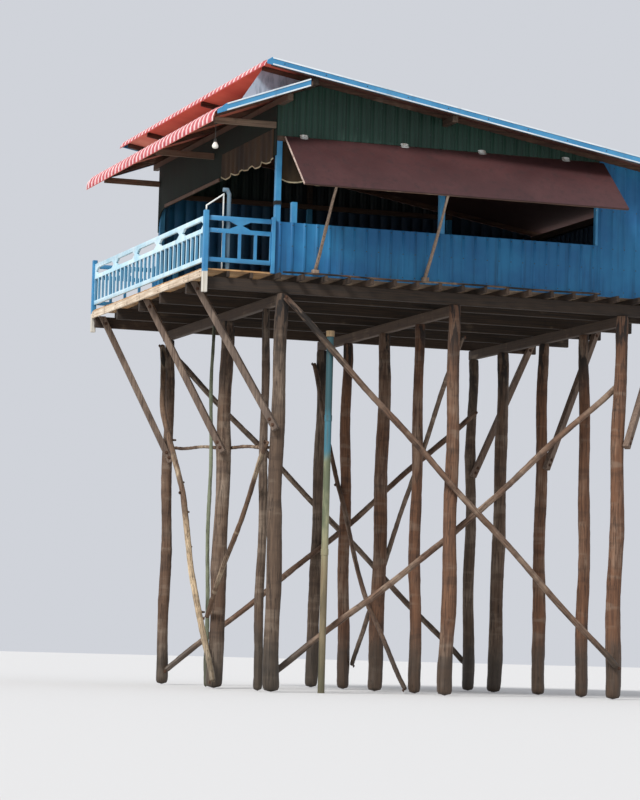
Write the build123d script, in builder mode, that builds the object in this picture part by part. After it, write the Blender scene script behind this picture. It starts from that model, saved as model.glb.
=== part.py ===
# A timber house on tall log stilts: veranda at the front, side walls of ribbed
# sheet with a long top-hung flap, and a roof whose rear half rises over the front half.
# Millimetres. X runs back from the front edge, Y along the front from the near
# side to the far side, Z is up, and the logs stand on Z = 0.

import os
from math import asin, cos, degrees, radians, sin, sqrt

from build123d import *

os.makedirs("parts", exist_ok=True)

# Driving sizes of the whole house
floor_height = 7150
house_width = 7400
house_depth = 9200
wall_setback = 1250
parapet_length = 6040
roof_side_overhang = 600
rear_roof_far_overhang = 1500
rear_eave_overhang = 400
front_eave_overhang = 90
seat_gap = 0.3

# Floor
board_thickness = 30
board_nosing = 25
joist_width = 50
joist_depth = 100
joist_pitch = 420
joist_reach = 260
ledge_pole_radius = 18
ledge_pole_inset = 50
beam_width = 90
beam_depth = 210
beam_rows = (70, 1000, 2650, 4050, 5600, house_width - 160)
girder_width = 110
girder_depth = 180
fascia_thickness = 35
fascia_depth = 125

# Stilts: three lines of logs, with each log's place along the front and its form
front_line_setback = 1460
middle_line_setback = 4630
rear_line_inset = 1350
post_rows = (
    (120, 1000, 3300, 4150, house_width - 320),
    (120, 1800, 3650, 5700, house_width - 150),
    (120, 1800, 3650, 5700, house_width - 150),
)
post_leans = ((-10, 30, -60, 50, 40), (-20, 60, -30, 70, -50), (-60, 80, 20, -50, 30))
post_bows = ((-25, 15, 25, -20, 20), (35, -30, 25, -20, 30), (-25, 30, -30, 25, -20))
post_girths = ((1, 0.6, 1.05, 0.28, 0.8), (0.95, 0.8, 1, 0.85, 0.9), (1, 0.85, 0.9, 1, 0.85))
foot_radius = 150
head_radius = 118
bow_steps = 3
log_sides = 12

# Slanting struts and log braces
strut_section = 115
strut_drops = (2620, 2830, 2810)
strut_foot_reach = 90
strut_side_gap = 2
strut_rows = ((1, 0), (3, 2), (5, 4))
brace_radius = 58
light_brace_radius = 46
pole_radius = 32

# How far below the floor the braces pass the logs, and where the bent log bends
side_brace_heads = (420, 700)
outer_brace_drops = (0.498 * floor_height, floor_height - 550)
inner_brace_drops = (floor_height - 250, 0.622 * floor_height, 1600)
bent_log_drops = (640, floor_height - 850)
bent_log_steps = (
    (house_width - 990, 1870),
    (house_width - 1990, 2990),
    (house_width - 2520, 3580),
    (house_width - 3250, 0.702 * floor_height),
)
bent_log_foot = (2640, 110)
front_brace_drops = (0.406 * floor_height, floor_height - 1250)
level_pole_drops = (2600, 2800, 2930)
middle_front_drops = (800, 0.455 * floor_height, 0.783 * floor_height, floor_height - 60)
middle_back_drops = (900, 2650, 0.636 * floor_height, floor_height - 450)

# Waste pipe
pipe_radius = 60
pipe_setback = 2330
pipe_top_drop = 940
pipe_collar_radius = 76
pipe_collar_depth = 100

# Walls
sheet_thickness = 8
rib_pitch = 225
rib_height = 16
rib_foot = 60
rib_crest = 34
parapet_height = 880
sheet_lap = 30
frame_section = 100
head_height = 2370
head_depth = 90
front_panel_bottom = 2030
front_panel_thickness = 20
arch_radius = 430
short_post_height = 1240
short_post_setback = 300

# Cloth valances under the front panel and in the side opening
valance_thickness = 12
front_valance_width = 3050
front_valance_drop = 560
front_valance_bottom = 1960
side_valance_width = 2700
side_valance_bottom = 1560

# Flap over the side opening
flap_length = 1480
flap_drop = 965
flap_thickness = 22
flap_front_inset = 140
flap_rear_reach = 70
flap_top_drop = 28
prop_width = 60
prop_places = (700, 2720)
prop_edge_inset = 60
ledge_size = 84
hinge_places = (400, 2250, 3700, 5300)
hinge_width = 140
hinge_leaf = 50
hinge_thickness = 7

# Veranda railing
rail_height = 900
rail_post_section = 88
rail_post_rise = 80
rail_post_drop = 420
end_post_section = 66
rail_thickness = 45
bottom_rail_gap = 110
bottom_rail_depth = 75
baluster_width = 48
baluster_pitch = 270
rail_band_bottom = 610
rail_top_depth = 80
rail_band_depth = 75
front_cutouts = 5
cutout_gap = 170

# Pipe frame at the veranda's near corner, and the lamp under the eave
frame_pipe_radius = 14
frame_pipe_reach = 330
frame_pipe_rise = 80
frame_pipe_top = 1290
lamp_radius = 55
lamp_height = 150
lamp_wire_radius = 5
lamp_wire_drop = 290
lamp_setback = 150
lamp_profile = ((0.4, 0), (0.5, 0.3), (0.95, 0.6), (1, 0.8), (0.5, 1))
hook_pipe_radius = 38
hook_pipe_setback = 430
hook_pipe_top = 1400
hook_pipe_reach = 110
gap_sheet_start = 560

# Roof
front_slope = 0.37
rear_slope = 0.169
eave_top = 2620
high_edge_top = 3590
high_edge_setback = 800
roof_thickness = 8
roof_rib_pitch = 250
roof_rib_width = 100
roof_rib_height = 22
front_nose_radius = 230
front_nose_sweep = 80
high_nose_radius = 130
high_nose_sweep = 95
nose_facets = 4
front_roof_run = 1640
rafter_width = 60
rafter_depth = 90
front_rafter_spans = 4
rear_rafter_spans = 2
rafter_end_gap = 45
plate_width = 100
plate_depth = 120
ridge_setback = 1700
purlin_setback = 4270
tie_depth = 110
tie_width = 50
tie_setback = 120
bargeboard_thickness = 30
bargeboard_depth = 130
bargeboard_rise = 30

# Worked out from the sizes above
front_x = -(house_depth + rear_eave_overhang - front_eave_overhang) / 2
rear_x = front_x + house_depth
flap_reach = sheet_thickness + rib_height + seat_gap + sqrt(flap_length ** 2 - flap_drop ** 2)
near_y = -(house_width + rear_roof_far_overhang - flap_reach) / 2
far_y = near_y + house_width
wall_x = front_x + wall_setback
parapet_end_x = wall_x + parapet_length
line_xs = (front_x + front_line_setback, front_x + middle_line_setback, rear_x - rear_line_inset)
joist_top = floor_height - board_thickness
beam_top = joist_top - joist_depth
girder_top = beam_top - beam_depth
girder_bottom = girder_top - girder_depth
roof_near_y = near_y - roof_side_overhang
front_roof_far_y = far_y + roof_side_overhang
rear_roof_far_y = far_y + rear_roof_far_overhang
eave_x = front_x - front_eave_overhang
rear_eave_x = rear_x + rear_eave_overhang
high_edge_x = front_x + high_edge_setback
ridge_x = front_x + ridge_setback
head_z = floor_height + head_height
sheet_underside = roof_thickness * sqrt(1 + front_slope * front_slope) + seat_gap
rafter_drop = sheet_underside + rafter_depth
front_plate_top = floor_height + eave_top + (wall_x - eave_x) * front_slope - rafter_drop
corner = (Align.MIN, Align.MIN, Align.MIN)
sides = (("near", near_y, -1), ("far", far_y, 1))


def front_roof_z(x):
    """Height of the front roof's top face."""
    return floor_height + eave_top + (x - eave_x) * front_slope


def rear_roof_z(x):
    """Height of the rear roof's top face."""
    return floor_height + high_edge_top - (x - high_edge_x) * rear_slope


def block(x, y, z, length, width, height):
    """A squared timber or slab by its lowest corner and its sizes."""
    with Locations((x, y, z)):
        Box(length, width, height, align=corner)


def side_plate(y, outline, thickness):
    """A plate parallel to the side walls, from y towards the far side."""
    with BuildSketch(Plane.XZ.offset(-y)) as section:
        with BuildLine():
            Polyline(outline, close=True)
        make_face()
    extrude(section.sketch, amount=-thickness)


def cross_plate(x, outline, thickness):
    """A plate parallel to the front, from x towards the rear."""
    with BuildSketch(Plane.YZ.offset(x)) as section:
        with BuildLine():
            Polyline(outline, close=True)
        make_face()
    extrude(section.sketch, amount=thickness)


def log(points, radius, facing):
    """A round log through points, with a corner of its section towards facing."""
    sections = []
    for index, point in enumerate(points):
        before = Vector(*points[max(index - 1, 0)])
        after = Vector(*points[min(index + 1, len(points) - 1)])
        with BuildSketch(Plane(origin=point, x_dir=facing, z_dir=after - before)) as section:
            RegularPolygon(radius, log_sides)
        sections.append(section.sketch)
    loft(sections, ruled=True)


def post_top(index):
    """Height of a standing log: the nearest of each line reaches the floor beam."""
    return girder_top if index == 0 else girder_bottom


def post_radius(line, index, height):
    """Radius of a standing log at a height."""
    taper = foot_radius + (head_radius - foot_radius) * height / girder_bottom
    return post_girths[line][index] * taper


def post_centre(line, index, height):
    """Place along X of a standing log's centre at a height."""
    top = post_top(index)
    place = bow_steps * height / top
    low = min(int(place), bow_steps - 1)
    bends = [
        post_bows[line][index] * sin(radians(180 * step / bow_steps)) for step in (low, low + 1)
    ]
    lean = post_leans[line][index] * (1 - height / top)
    return line_xs[line] + lean + bends[0] + (bends[1] - bends[0]) * (place - low)


def post(line, index):
    """A standing log with level ends, leaning and bowed a little along X."""
    sections = []
    for step in range(bow_steps + 1):
        height = post_top(index) * step / bow_steps
        with BuildSketch(Plane.XY.offset(height)) as section:
            with Locations((post_centre(line, index, height), near_y + post_rows[line][index])):
                RegularPolygon(post_radius(line, index, height), log_sides)
        sections.append(section.sketch)
    loft(sections, ruled=True)


def beside(line, index, drop, radius, side):
    """Centre of a brace where it passes a standing log, at a drop below the floor."""
    height = floor_height - drop
    reach = post_radius(line, index, height) + radius + seat_gap
    return (
        post_centre(line, index, height) + side[0] * reach,
        near_y + post_rows[line][index] + side[1] * reach,
        height,
    )


def ribbed_outline(start, end, face, outward):
    """Outline of a ribbed sheet in plan: along it, and across it towards outward."""
    skin = outward * sheet_thickness
    crest = outward * rib_height
    slant = (rib_foot - rib_crest) / 2
    count = int((end - start - rib_foot) / rib_pitch)
    first = start + (end - start - count * rib_pitch - rib_foot) / 2
    steps = [(start, 0)]
    for index in range(count + 1):
        foot = first + index * rib_pitch
        steps += [(foot, 0), (foot + slant, crest)]
        steps += [(foot + slant + rib_crest, crest), (foot + rib_foot, 0)]
    steps.append((end, 0))
    outer = [(along, face + across + skin) for along, across in steps]
    inner = [(along, face + across) for along, across in reversed(steps)]
    return outer + inner


def ribbed_wall(start, end, face, outward, bottom, height, along_x=True):
    """A standing ribbed sheet, along X or along Y."""
    outline = ribbed_outline(start, end, face, outward)
    if not along_x:
        outline = [(across, along) for along, across in outline]
    with BuildSketch(Plane.XY.offset(bottom)) as section:
        with BuildLine():
            Polyline(outline, close=True)
        make_face()
    extrude(section.sketch, amount=height)


def nose_run(rise, radius):
    """How far up a sheet its nose starts, with the sheet's rise towards the nose."""
    return radius * (1 + rise) / sqrt(1 - rise * rise)


def nosed_sheet(lower, upper, radius, sweep, far_end):
    """A ribbed roof sheet between two points of its top face, crimped down at the first."""
    run = (Vector(*lower) - Vector(*upper)).normalized()
    start = Vector(*lower) - run * nose_run(run.Y, radius)
    centre = start + Vector(-run.Y, run.X) * radius
    near_end = roof_near_y + bargeboard_thickness
    width = far_end - bargeboard_thickness - near_end
    profiles = []
    for outer, inner in ((radius, radius - roof_thickness), (radius + roof_rib_height, radius)):
        outline = []
        for reach in (outer, inner):
            side = [Vector(*upper) + (start - centre) * (reach / radius - 1)]
            for step in range(nose_facets + 1):
                arm = (start - centre).rotate(Axis.Z, sweep * step / nose_facets)
                side.append(centre + arm * (reach / radius))
            outline += side if reach == outer else reversed(side)
        with BuildSketch(Plane.XZ.offset(-near_end)) as section:
            with BuildLine():
                Polyline([(point.X, point.Y) for point in outline], close=True)
            make_face()
        profiles.append(section.sketch)
    extrude(profiles[0], amount=-width)
    rib = extrude(profiles[1], amount=-roof_rib_width, mode=Mode.PRIVATE)
    count = int((width - 3 * roof_rib_width) / roof_rib_pitch)
    first = (width - count * roof_rib_pitch - roof_rib_width) / 2
    with Locations([(0, first + index * roof_rib_pitch, 0) for index in range(count + 1)]):
        add(rib)


def slope_cut(x, z, slope):
    """Keep what lies under a sloping plane through a point."""
    split(
        bisect_by=Plane(origin=(x, 0, z), x_dir=(1, 0, slope), z_dir=(-slope, 0, 1)),
        keep=Keep.BOTTOM,
    )


def save(piece, name):
    """Label a finished piece and write it."""
    piece.label = name
    export_step(piece, f"parts/{name}.step")


# Stilts, one node for each line of logs across the house
for line, name in enumerate(("front_stilts", "middle_stilts", "rear_stilts")):
    with BuildPart() as stilts:
        for index in range(len(post_rows[line])):
            post(line, index)
    save(stilts.part, name)

# Girders across the house on the logs
with BuildPart() as girders:
    for line, x in enumerate(line_xs):
        start = near_y + post_rows[line][0] + post_radius(line, 0, girder_bottom) + seat_gap
        block(
            x - girder_width / 2, start, girder_bottom, girder_width, far_y - start, girder_depth,
        )
save(girders.part, "floor_girders")

# Floor beams from front to rear
with BuildPart() as beams:
    for row in beam_rows:
        block(front_x, near_y + row, girder_top, house_depth, beam_width, beam_depth)
save(beams.part, "floor_beams")

# Joists, with their ends showing along the sides
with BuildPart() as joists:
    for index in range(int((house_depth - joist_width) / joist_pitch) + 1):
        x = front_x + index * joist_pitch
        reach = joist_reach if x > wall_x else 0
        block(x, near_y - reach, beam_top, joist_width, house_width + reach, joist_depth)
save(joists.part, "floor_joists")

# Pole that lies on the joists' ends outside the near parapet
with BuildPart() as ledge_pole:
    pole_y = near_y - joist_reach + ledge_pole_inset
    pole_z = joist_top + ledge_pole_radius + seat_gap
    log(
        [(wall_x + 100, pole_y, pole_z), (parapet_end_x, pole_y, pole_z)],
        ledge_pole_radius, (0, 0, 1),
    )
save(ledge_pole.part, "ledge_pole")

# Floor boards of the veranda and of the room
with BuildPart() as veranda_floor:
    block(
        front_x - board_nosing, near_y, joist_top,
        wall_setback + board_nosing, house_width, board_thickness,
    )
save(veranda_floor.part, "veranda_floor")

with BuildPart() as room_floor:
    block(wall_x, near_y, joist_top, house_depth - wall_setback, house_width, board_thickness)
save(room_floor.part, "room_floor")

with BuildPart() as fascia:
    block(
        front_x - fascia_thickness, near_y, joist_top - fascia_depth,
        fascia_thickness, house_width, fascia_depth,
    )
save(fascia.part, "front_fascia")

# Slanting struts: each starts beside a floor beam at its end, and passes beside its log
for name, edge_x, inward, line in (
    ("front_struts", front_x, 1, 0), ("rear_struts", rear_x, -1, 2),
):
    pieces = []
    for (beam, index), drop in zip(strut_rows, strut_drops):
        height = floor_height - drop
        centre = Vector(post_centre(line, index, height), near_y + post_rows[line][index], height)
        reach = post_radius(line, index, height) + strut_section / 2 + strut_side_gap
        lap = strut_section / 2
        for settling in range(3):
            top = Vector(
                edge_x + inward * strut_section, near_y + beam_rows[beam] - lap - seat_gap, beam_top
            )
            # Turn the strut in plan until it just passes its log
            flat = Vector(centre.X - top.X, centre.Y - top.Y)
            turn = inward * degrees(asin(reach / flat.length))
            way = flat.normalized().rotate(Axis.Z, -turn) * sqrt(flat.length ** 2 - reach ** 2)
            foot = Vector(top.X + way.X, top.Y + way.Y, height)
            run = (foot - top).normalized()
            across = run.cross(Vector(0, 0, 1)).normalized()
            # Half of the strut's width along Y where a level plane cuts it
            other = run.cross(across)
            lap = abs(across.Y) + abs(other.Y - run.Y * other.Z / run.Z)
            lap *= strut_section / 2
        with BuildPart() as strut:
            with BuildSketch(Plane(origin=top, x_dir=across, z_dir=run)) as section:
                Rectangle(strut_section, strut_section)
            extrude(section.sketch, amount=(foot - top).length + strut_foot_reach)
            extrude(section.sketch, amount=-strut_section)
            split(bisect_by=Plane.XY.offset(beam_top - seat_gap), keep=Keep.BOTTOM)
        pieces.append(strut.part)
    with BuildPart() as struts:
        add(pieces)
    save(struts.part, name)

# Log braces along the sides: one outside the logs, and one inside them that crosses it
for (side, face, outward), index, head_drop in zip(sides, (0, -1), side_brace_heads):
    outer, inner = (0, outward), (0, -outward)
    with BuildPart() as braces:
        for drops, way in (((head_drop, *outer_brace_drops), outer), (inner_brace_drops, inner)):
            log(
                [beside(line, index, drop, brace_radius, way) for line, drop in enumerate(drops)],
                brace_radius, (0, 1, 0),
            )
    save(braces.part, f"{side}_side_braces")

# Across the front line: a bent log, a brace from the near log, and a thin level pole
front, back = (-1, 0), (1, 0)
bent_top = beside(0, 4, bent_log_drops[0], brace_radius, front)
bent_side = beside(0, 2, bent_log_drops[1], brace_radius, front)
bent_points = [
    (bent_side[0] - 40, near_y + along, floor_height - drop) for along, drop in bent_log_steps
]
with BuildPart() as front_braces:
    log(
        [
            bent_top,
            *bent_points,
            bent_side,
            (bent_side[0] - 20, near_y + bent_log_foot[0], bent_log_foot[1]),
        ],
        brace_radius, (1, 0, 0),
    )
    for posts, drops, radius, way in (
        ((0, 2), front_brace_drops, light_brace_radius, front),
        ((4, 2, 1), level_pole_drops, pole_radius, back),
    ):
        log(
            [beside(0, index, drop, radius, way) for index, drop in zip(posts, drops)],
            radius, (1, 0, 0),
        )
save(front_braces.part, "front_line_braces")

# Across the middle line: two braces that cross, one before and one behind the logs
with BuildPart() as middle_braces:
    for posts, drops, way in (
        ((4, 3, 2, 1), middle_front_drops, front),
        ((0, 1, 2, 3), middle_back_drops, back),
    ):
        log(
            [
                beside(1, index, drop, light_brace_radius, way)
                for index, drop in zip(posts, drops)
            ],
            light_brace_radius, (1, 0, 0),
        )
save(middle_braces.part, "middle_line_braces")

# Waste pipe that stands beside the near side's outer brace, with a collar at its top
pipe_y = near_y + post_rows[0][0] - foot_radius * 0.8 + pipe_radius
pipe_top = floor_height - pipe_top_drop
with BuildPart() as pipe:
    with Locations((front_x + pipe_setback, pipe_y, 0)):
        Cylinder(pipe_radius, pipe_top, align=(Align.CENTER, Align.CENTER, Align.MIN))
    with Locations((front_x + pipe_setback, pipe_y, pipe_top)):
        Cylinder(
            pipe_collar_radius, pipe_collar_depth, align=(Align.CENTER, Align.CENTER, Align.MAX),
        )
save(pipe.part, "waste_pipe")

# Beams across the house that carry the rafters: their name, front face and top
def plate_top(x):
    """Top of a beam under the rear rafters, whose front face is at x."""
    return rear_roof_z(x + plate_width) - rafter_drop - seat_gap


purlin_x = front_x + purlin_setback
plates = (
    (wall_x, front_plate_top - seat_gap, front_roof_far_y),
    (ridge_x, plate_top(ridge_x), rear_roof_far_y),
    (purlin_x, plate_top(purlin_x), rear_roof_far_y),
    (rear_x - plate_width, plate_top(rear_x - plate_width), rear_roof_far_y),
)
plate_start = roof_near_y + bargeboard_thickness + rafter_end_gap
with BuildPart() as roof_beams:
    for x, top, far_end in plates:
        far = far_end - bargeboard_thickness - rafter_end_gap
        block(x, plate_start, top - plate_depth, plate_width, far - plate_start, plate_depth)
save(roof_beams.part, "roof_beams")


def plate_notches(face):
    """Cut the room for the roof's beams out of a side sheet."""
    for x, top, far_end in plates:
        with Locations((x - seat_gap, face - frame_section, top - plate_depth - seat_gap)):
            Box(
                plate_width + 2 * seat_gap, 2 * frame_section, plate_depth + rafter_depth,
                align=corner, mode=Mode.SUBTRACT,
            )


# Side sheets: a parapet on the near side, a closed wall on the far side, and on both
# sides the rear end and the gable
for side, face, outward in sides:
    sheet_height = parapet_height if side == "near" else head_height
    with BuildPart() as side_sheet:
        ribbed_wall(
            wall_x, parapet_end_x, face, outward,
            floor_height - sheet_lap + seat_gap, sheet_height + sheet_lap - 2 * seat_gap,
        )
    save(side_sheet.part, "near_parapet" if side == "near" else "far_side_wall")

    with BuildPart() as end_wall:
        ribbed_wall(
            parapet_end_x, rear_x, face, outward,
            floor_height - sheet_lap + seat_gap, rear_roof_z(parapet_end_x) - floor_height,
        )
        slope_cut(rear_x, rear_roof_z(rear_x) - rafter_drop - seat_gap, -rear_slope)
        plate_notches(face)
    save(end_wall.part, f"{side}_rear_side_wall")

    with BuildPart() as gable:
        ribbed_wall(
            wall_x, parapet_end_x, face, outward, head_z, high_edge_top - head_height
        )
        slope_cut(rear_x, rear_roof_z(rear_x) - rafter_drop - seat_gap, -rear_slope)
        slope_cut(wall_x, front_plate_top - seat_gap, front_slope)
        plate_notches(face)
    save(gable.part, f"{side}_gable")

rear_wall_bottom = floor_height - sheet_lap
with BuildPart() as rear_wall:
    ribbed_wall(
        near_y, far_y, rear_x, 1, rear_wall_bottom,
        rear_roof_z(rear_x + sheet_thickness + rib_height) - rafter_drop - seat_gap - rear_wall_bottom,
        along_x=False,
    )
save(rear_wall.part, "rear_wall")

# Front wall: a dark panel under the roof, with an arched corner at the far post
with BuildPart() as front_panel:
    with BuildSketch(Plane.YZ.offset(wall_x - front_panel_thickness)) as section:
        panel_bottom = floor_height + front_panel_bottom
        with Locations((near_y, panel_bottom)):
            Rectangle(
                house_width, front_plate_top - plate_depth - panel_bottom,
                align=(Align.MIN, Align.MIN),
            )
        with Locations((far_y - arch_radius, panel_bottom - arch_radius)):
            Rectangle(arch_radius, arch_radius, align=(Align.MIN, Align.MIN))
            Circle(arch_radius, mode=Mode.SUBTRACT)
    extrude(section.sketch, amount=front_panel_thickness)
save(front_panel.part, "front_wall_panel")

# Posts of the walls, and the beams at head height
inner_ys = (near_y, far_y - frame_section)
with BuildPart() as wall_posts:
    for y in inner_ys:
        for x in (wall_x, purlin_x, parapet_end_x - frame_section / 2):
            block(x, y, floor_height, frame_section, frame_section, head_height - head_depth)
        block(
            wall_x + short_post_setback, y, floor_height,
            frame_section, frame_section, short_post_height,
        )
        block(
            rear_x - frame_section, y, floor_height,
            frame_section, frame_section, plates[-1][1] - plate_depth - seat_gap - floor_height,
        )
save(wall_posts.part, "wall_posts")

with BuildPart() as head_beams:
    for y in inner_ys:
        block(
            wall_x, y, head_z - head_depth,
            parapet_length + frame_section / 2, frame_section, head_depth,
        )
    slope_cut(rear_x, rear_roof_z(rear_x) - rafter_drop - seat_gap, -rear_slope)
save(head_beams.part, "side_head_beams")

with BuildPart() as gable_studs:
    for y in inner_ys:
        for x, top, far_end in plates[:-1]:
            block(
                x, y, head_z, frame_section, frame_section,
                top - plate_depth - seat_gap - head_z,
            )
save(gable_studs.part, "gable_studs")

# Cloth valances: one before the front panel's edge, one in the near side opening
with BuildPart() as valances:
    block(
        wall_x - front_panel_thickness - valance_thickness - seat_gap, near_y + frame_section,
        floor_height + front_valance_bottom,
        valance_thickness, front_valance_width, front_valance_drop,
    )
    block(
        wall_x + frame_section + seat_gap, near_y + frame_section + seat_gap,
        floor_height + side_valance_bottom,
        side_valance_width, valance_thickness, head_height - side_valance_bottom,
    )
save(valances.part, "valances")

# Rafters: one at each edge of the roof and the others spread between the side walls
rafter_sets = (
    (
        "front_rafters", front_rafter_spans, front_roof_far_y, front_roof_z,
        eave_x + front_nose_radius, ridge_x - seat_gap,
    ),
    (
        "rear_rafters", rear_rafter_spans, rear_roof_far_y, rear_roof_z,
        high_edge_x + high_nose_radius * (1 + rear_slope), rear_eave_x - rafter_end_gap,
    ),
)
for name, spans, far_end, height, start, end in rafter_sets:
    rafter_step = (house_width - rafter_width) / spans
    rafter_ys = [near_y + index * rafter_step for index in range(spans + 1)]
    edge_rafters = [plate_start, far_end - bargeboard_thickness - rafter_end_gap - rafter_width]
    with BuildPart() as rafters:
        for y in rafter_ys + edge_rafters:
            side_plate(
                y,
                [
                    (start, height(start) - sheet_underside),
                    (end, height(end) - sheet_underside),
                    (end, height(end) - rafter_drop),
                    (start, height(start) - rafter_drop),
                ],
                rafter_width,
            )
    save(rafters.part, name)

# Level ties from the front wall out to the front rafters
tie_start = front_x + tie_setback
tie_end = wall_x - front_panel_thickness - seat_gap
tie_top = front_roof_z(eave_x + front_nose_radius) - rafter_drop - seat_gap
with BuildPart() as ties:
    for index in (0, 1, 2):
        y = near_y + index * (house_width - rafter_width) / 2
        block(tie_start, y, tie_top - tie_depth, tie_end - tie_start, tie_width, tie_depth)
save(ties.part, "veranda_ties")

# Roof sheets with a rounded nose
front_roof_end_x = front_x + front_roof_run
with BuildPart() as front_roof:
    nosed_sheet(
        (eave_x, front_roof_z(eave_x)), (front_roof_end_x, front_roof_z(front_roof_end_x)),
        front_nose_radius, front_nose_sweep, front_roof_far_y,
    )
save(front_roof.part, "front_roof")

with BuildPart() as rear_roof:
    nosed_sheet(
        (high_edge_x, rear_roof_z(high_edge_x)), (rear_eave_x, rear_roof_z(rear_eave_x)),
        high_nose_radius, high_nose_sweep, rear_roof_far_y,
    )
save(rear_roof.part, "rear_roof")

# Sheet that closes the gap between the two roofs above the near gable
gap_start = front_x + gap_sheet_start
with BuildPart() as gap_sheet:
    side_plate(
        near_y - sheet_thickness,
        [
            (gap_start, front_roof_z(gap_start) + roof_rib_height * 2),
            (front_roof_end_x, front_roof_z(front_roof_end_x) + roof_rib_height * 2),
            (front_roof_end_x, rear_roof_z(front_roof_end_x) - rafter_drop - seat_gap),
            (high_edge_x + high_nose_radius, rear_roof_z(high_edge_x + high_nose_radius) - rafter_drop),
        ],
        sheet_thickness - seat_gap,
    )
save(gap_sheet.part, "roof_gap_sheet")

# Bargeboards at the ends of both roof sheets, cut back to the nose at their front ends
board_spans = (
    (eave_x, front_nose_radius, front_roof_end_x, front_roof_z, front_roof_far_y),
    (high_edge_x, high_nose_radius, rear_eave_x, rear_roof_z, rear_roof_far_y),
)
with BuildPart() as boards:
    for nose, radius, end, height, far_end in board_spans:
        start = nose + radius * 0.35
        back = nose + radius
        for y in (roof_near_y, far_end - bargeboard_thickness):
            side_plate(
                y,
                [
                    (back, height(back) + bargeboard_rise),
                    (end, height(end) + bargeboard_rise),
                    (end, height(end) + bargeboard_rise - bargeboard_depth),
                    (start, height(start) + bargeboard_rise - bargeboard_depth),
                    (start, height(start) - bargeboard_depth * 0.3),
                ],
                bargeboard_thickness,
            )
save(boards.part, "bargeboards")

# Flap over the near opening, hinged at the head and held open by two props
flap_tilt = asin(flap_drop / flap_length)
flap_start = wall_x + flap_front_inset
parapet_face = near_y - (sheet_thickness + rib_height + seat_gap)
hinge = Vector(parapet_face, head_z - flap_top_drop)
down = Vector(-cos(flap_tilt), -sin(flap_tilt))
up = Vector(-sin(flap_tilt), cos(flap_tilt))
edge = hinge + down * flap_length
with BuildPart() as flap:
    corners = [hinge, edge, edge + up * flap_thickness, hinge + up * flap_thickness]
    cross_plate(
        flap_start, [(point.X, point.Y) for point in corners],
        parapet_end_x + flap_rear_reach - flap_start,
    )
save(flap.part, "near_flap")

# A prop stands on a ledge at the parapet's foot and meets the flap's underside
head = hinge + down * (flap_length - prop_edge_inset)
foot = Vector(parapet_face - ledge_size / 2, floor_height + ledge_size + seat_gap)
slant = (head - foot).normalized()
half = prop_width / 2 / slant.Y
turn = slant.X * down.Y - slant.Y * down.X
outline = [(foot.X - half, foot.Y), (foot.X + half, foot.Y)]
for start in reversed(outline[:2]):
    gap = hinge - Vector(*start) - up * seat_gap
    share = (gap.X * down.Y - gap.Y * down.X) / turn
    outline.append((start[0] + slant.X * share, start[1] + slant.Y * share))
ledge_outline = [
    (parapet_face, floor_height), (parapet_face - ledge_size, floor_height),
    (parapet_face - ledge_size, floor_height + ledge_size),
    (parapet_face, floor_height + ledge_size),
]
with BuildPart() as props:
    for place in prop_places:
        cross_plate(wall_x + place, outline, prop_width)
        cross_plate(wall_x + place - prop_width / 2, ledge_outline, 2 * prop_width)
save(props.part, "flap_props")

# A hinge's leaves lie on the gable's ribs and on the flap's top face
leaf_turn = hinge + up * (flap_thickness + seat_gap)
fall = down.Y / down.X
leaf_outer = parapet_face - hinge_thickness
tip = Vector(leaf_outer, leaf_turn.Y + (leaf_outer - leaf_turn.X) * fall) + down * hinge_leaf
leaves = [
    (parapet_face, head_z + hinge_leaf),
    (parapet_face, leaf_turn.Y + (parapet_face - leaf_turn.X) * fall),
    (tip.X, tip.Y),
    (tip.X + up.X * hinge_thickness, tip.Y + up.Y * hinge_thickness),
    (leaf_outer, leaf_turn.Y + (leaf_outer - leaf_turn.X) * fall + hinge_thickness / up.Y),
    (leaf_outer, head_z + hinge_leaf),
]
with BuildPart() as hinges:
    for place in hinge_places:
        cross_plate(wall_x + place, leaves, hinge_width)
save(hinges.part, "flap_hinges")

# Veranda railing: posts at the corners and at the walls, the front panel, and a short
# panel at each side
post_x = front_x - fascia_thickness
with BuildPart() as rail_posts:
    for y, end_y in (
        (near_y - rail_post_section, near_y - end_post_section), (far_y, far_y),
    ):
        block(
            post_x, y, floor_height - rail_post_drop,
            rail_post_section, rail_post_section, rail_post_drop + rail_height + rail_post_rise,
        )
        block(
            wall_x - end_post_section, end_y, joist_top,
            end_post_section, end_post_section,
            board_thickness + rail_height + rail_post_rise / 2,
        )
save(rail_posts.part, "rail_posts")

cut_bottom = rail_band_bottom + rail_band_depth
cut_height = rail_height - rail_top_depth - cut_bottom
cut_point = cut_height * 1.1


def rail_panel(plane, length, cuts):
    """A railing panel: rails, balusters and a band with long pointed cut-outs."""
    foot = bottom_rail_gap + bottom_rail_depth
    count = round(length / baluster_pitch)
    step = length / count
    with BuildSketch(plane) as panel:
        with Locations((0, bottom_rail_gap)):
            Rectangle(length, rail_height - bottom_rail_gap, align=(Align.MIN, Align.MIN))
        with Locations([(step * (index + 0.5), foot) for index in range(count)]):
            Rectangle(
                step - baluster_width, rail_band_bottom - foot,
                align=(Align.CENTER, Align.MIN), mode=Mode.SUBTRACT,
            )
        for outline in cuts:
            with BuildLine():
                Polyline([(x, cut_bottom + cut_height * share) for x, share in outline], close=True)
            make_face(mode=Mode.SUBTRACT)
    extrude(panel.sketch, amount=rail_thickness)


front_cuts = []
cut_unit = house_width / front_cutouts
for index in range(front_cutouts):
    left = cut_unit * index + cutout_gap / 2
    right = cut_unit * (index + 1) - cutout_gap / 2
    front_cuts.append([
        (left, 0.5), (left + cut_point, 1), (right - cut_point, 1),
        (right, 0.5), (right - cut_point, 0), (left + cut_point, 0),
    ])
with BuildPart() as front_railing:
    rail_panel(
        Plane(origin=(front_x, near_y, floor_height), x_dir=(0, 1, 0), z_dir=(1, 0, 0)),
        house_width, front_cuts,
    )
save(front_railing.part, "front_railing")

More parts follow.
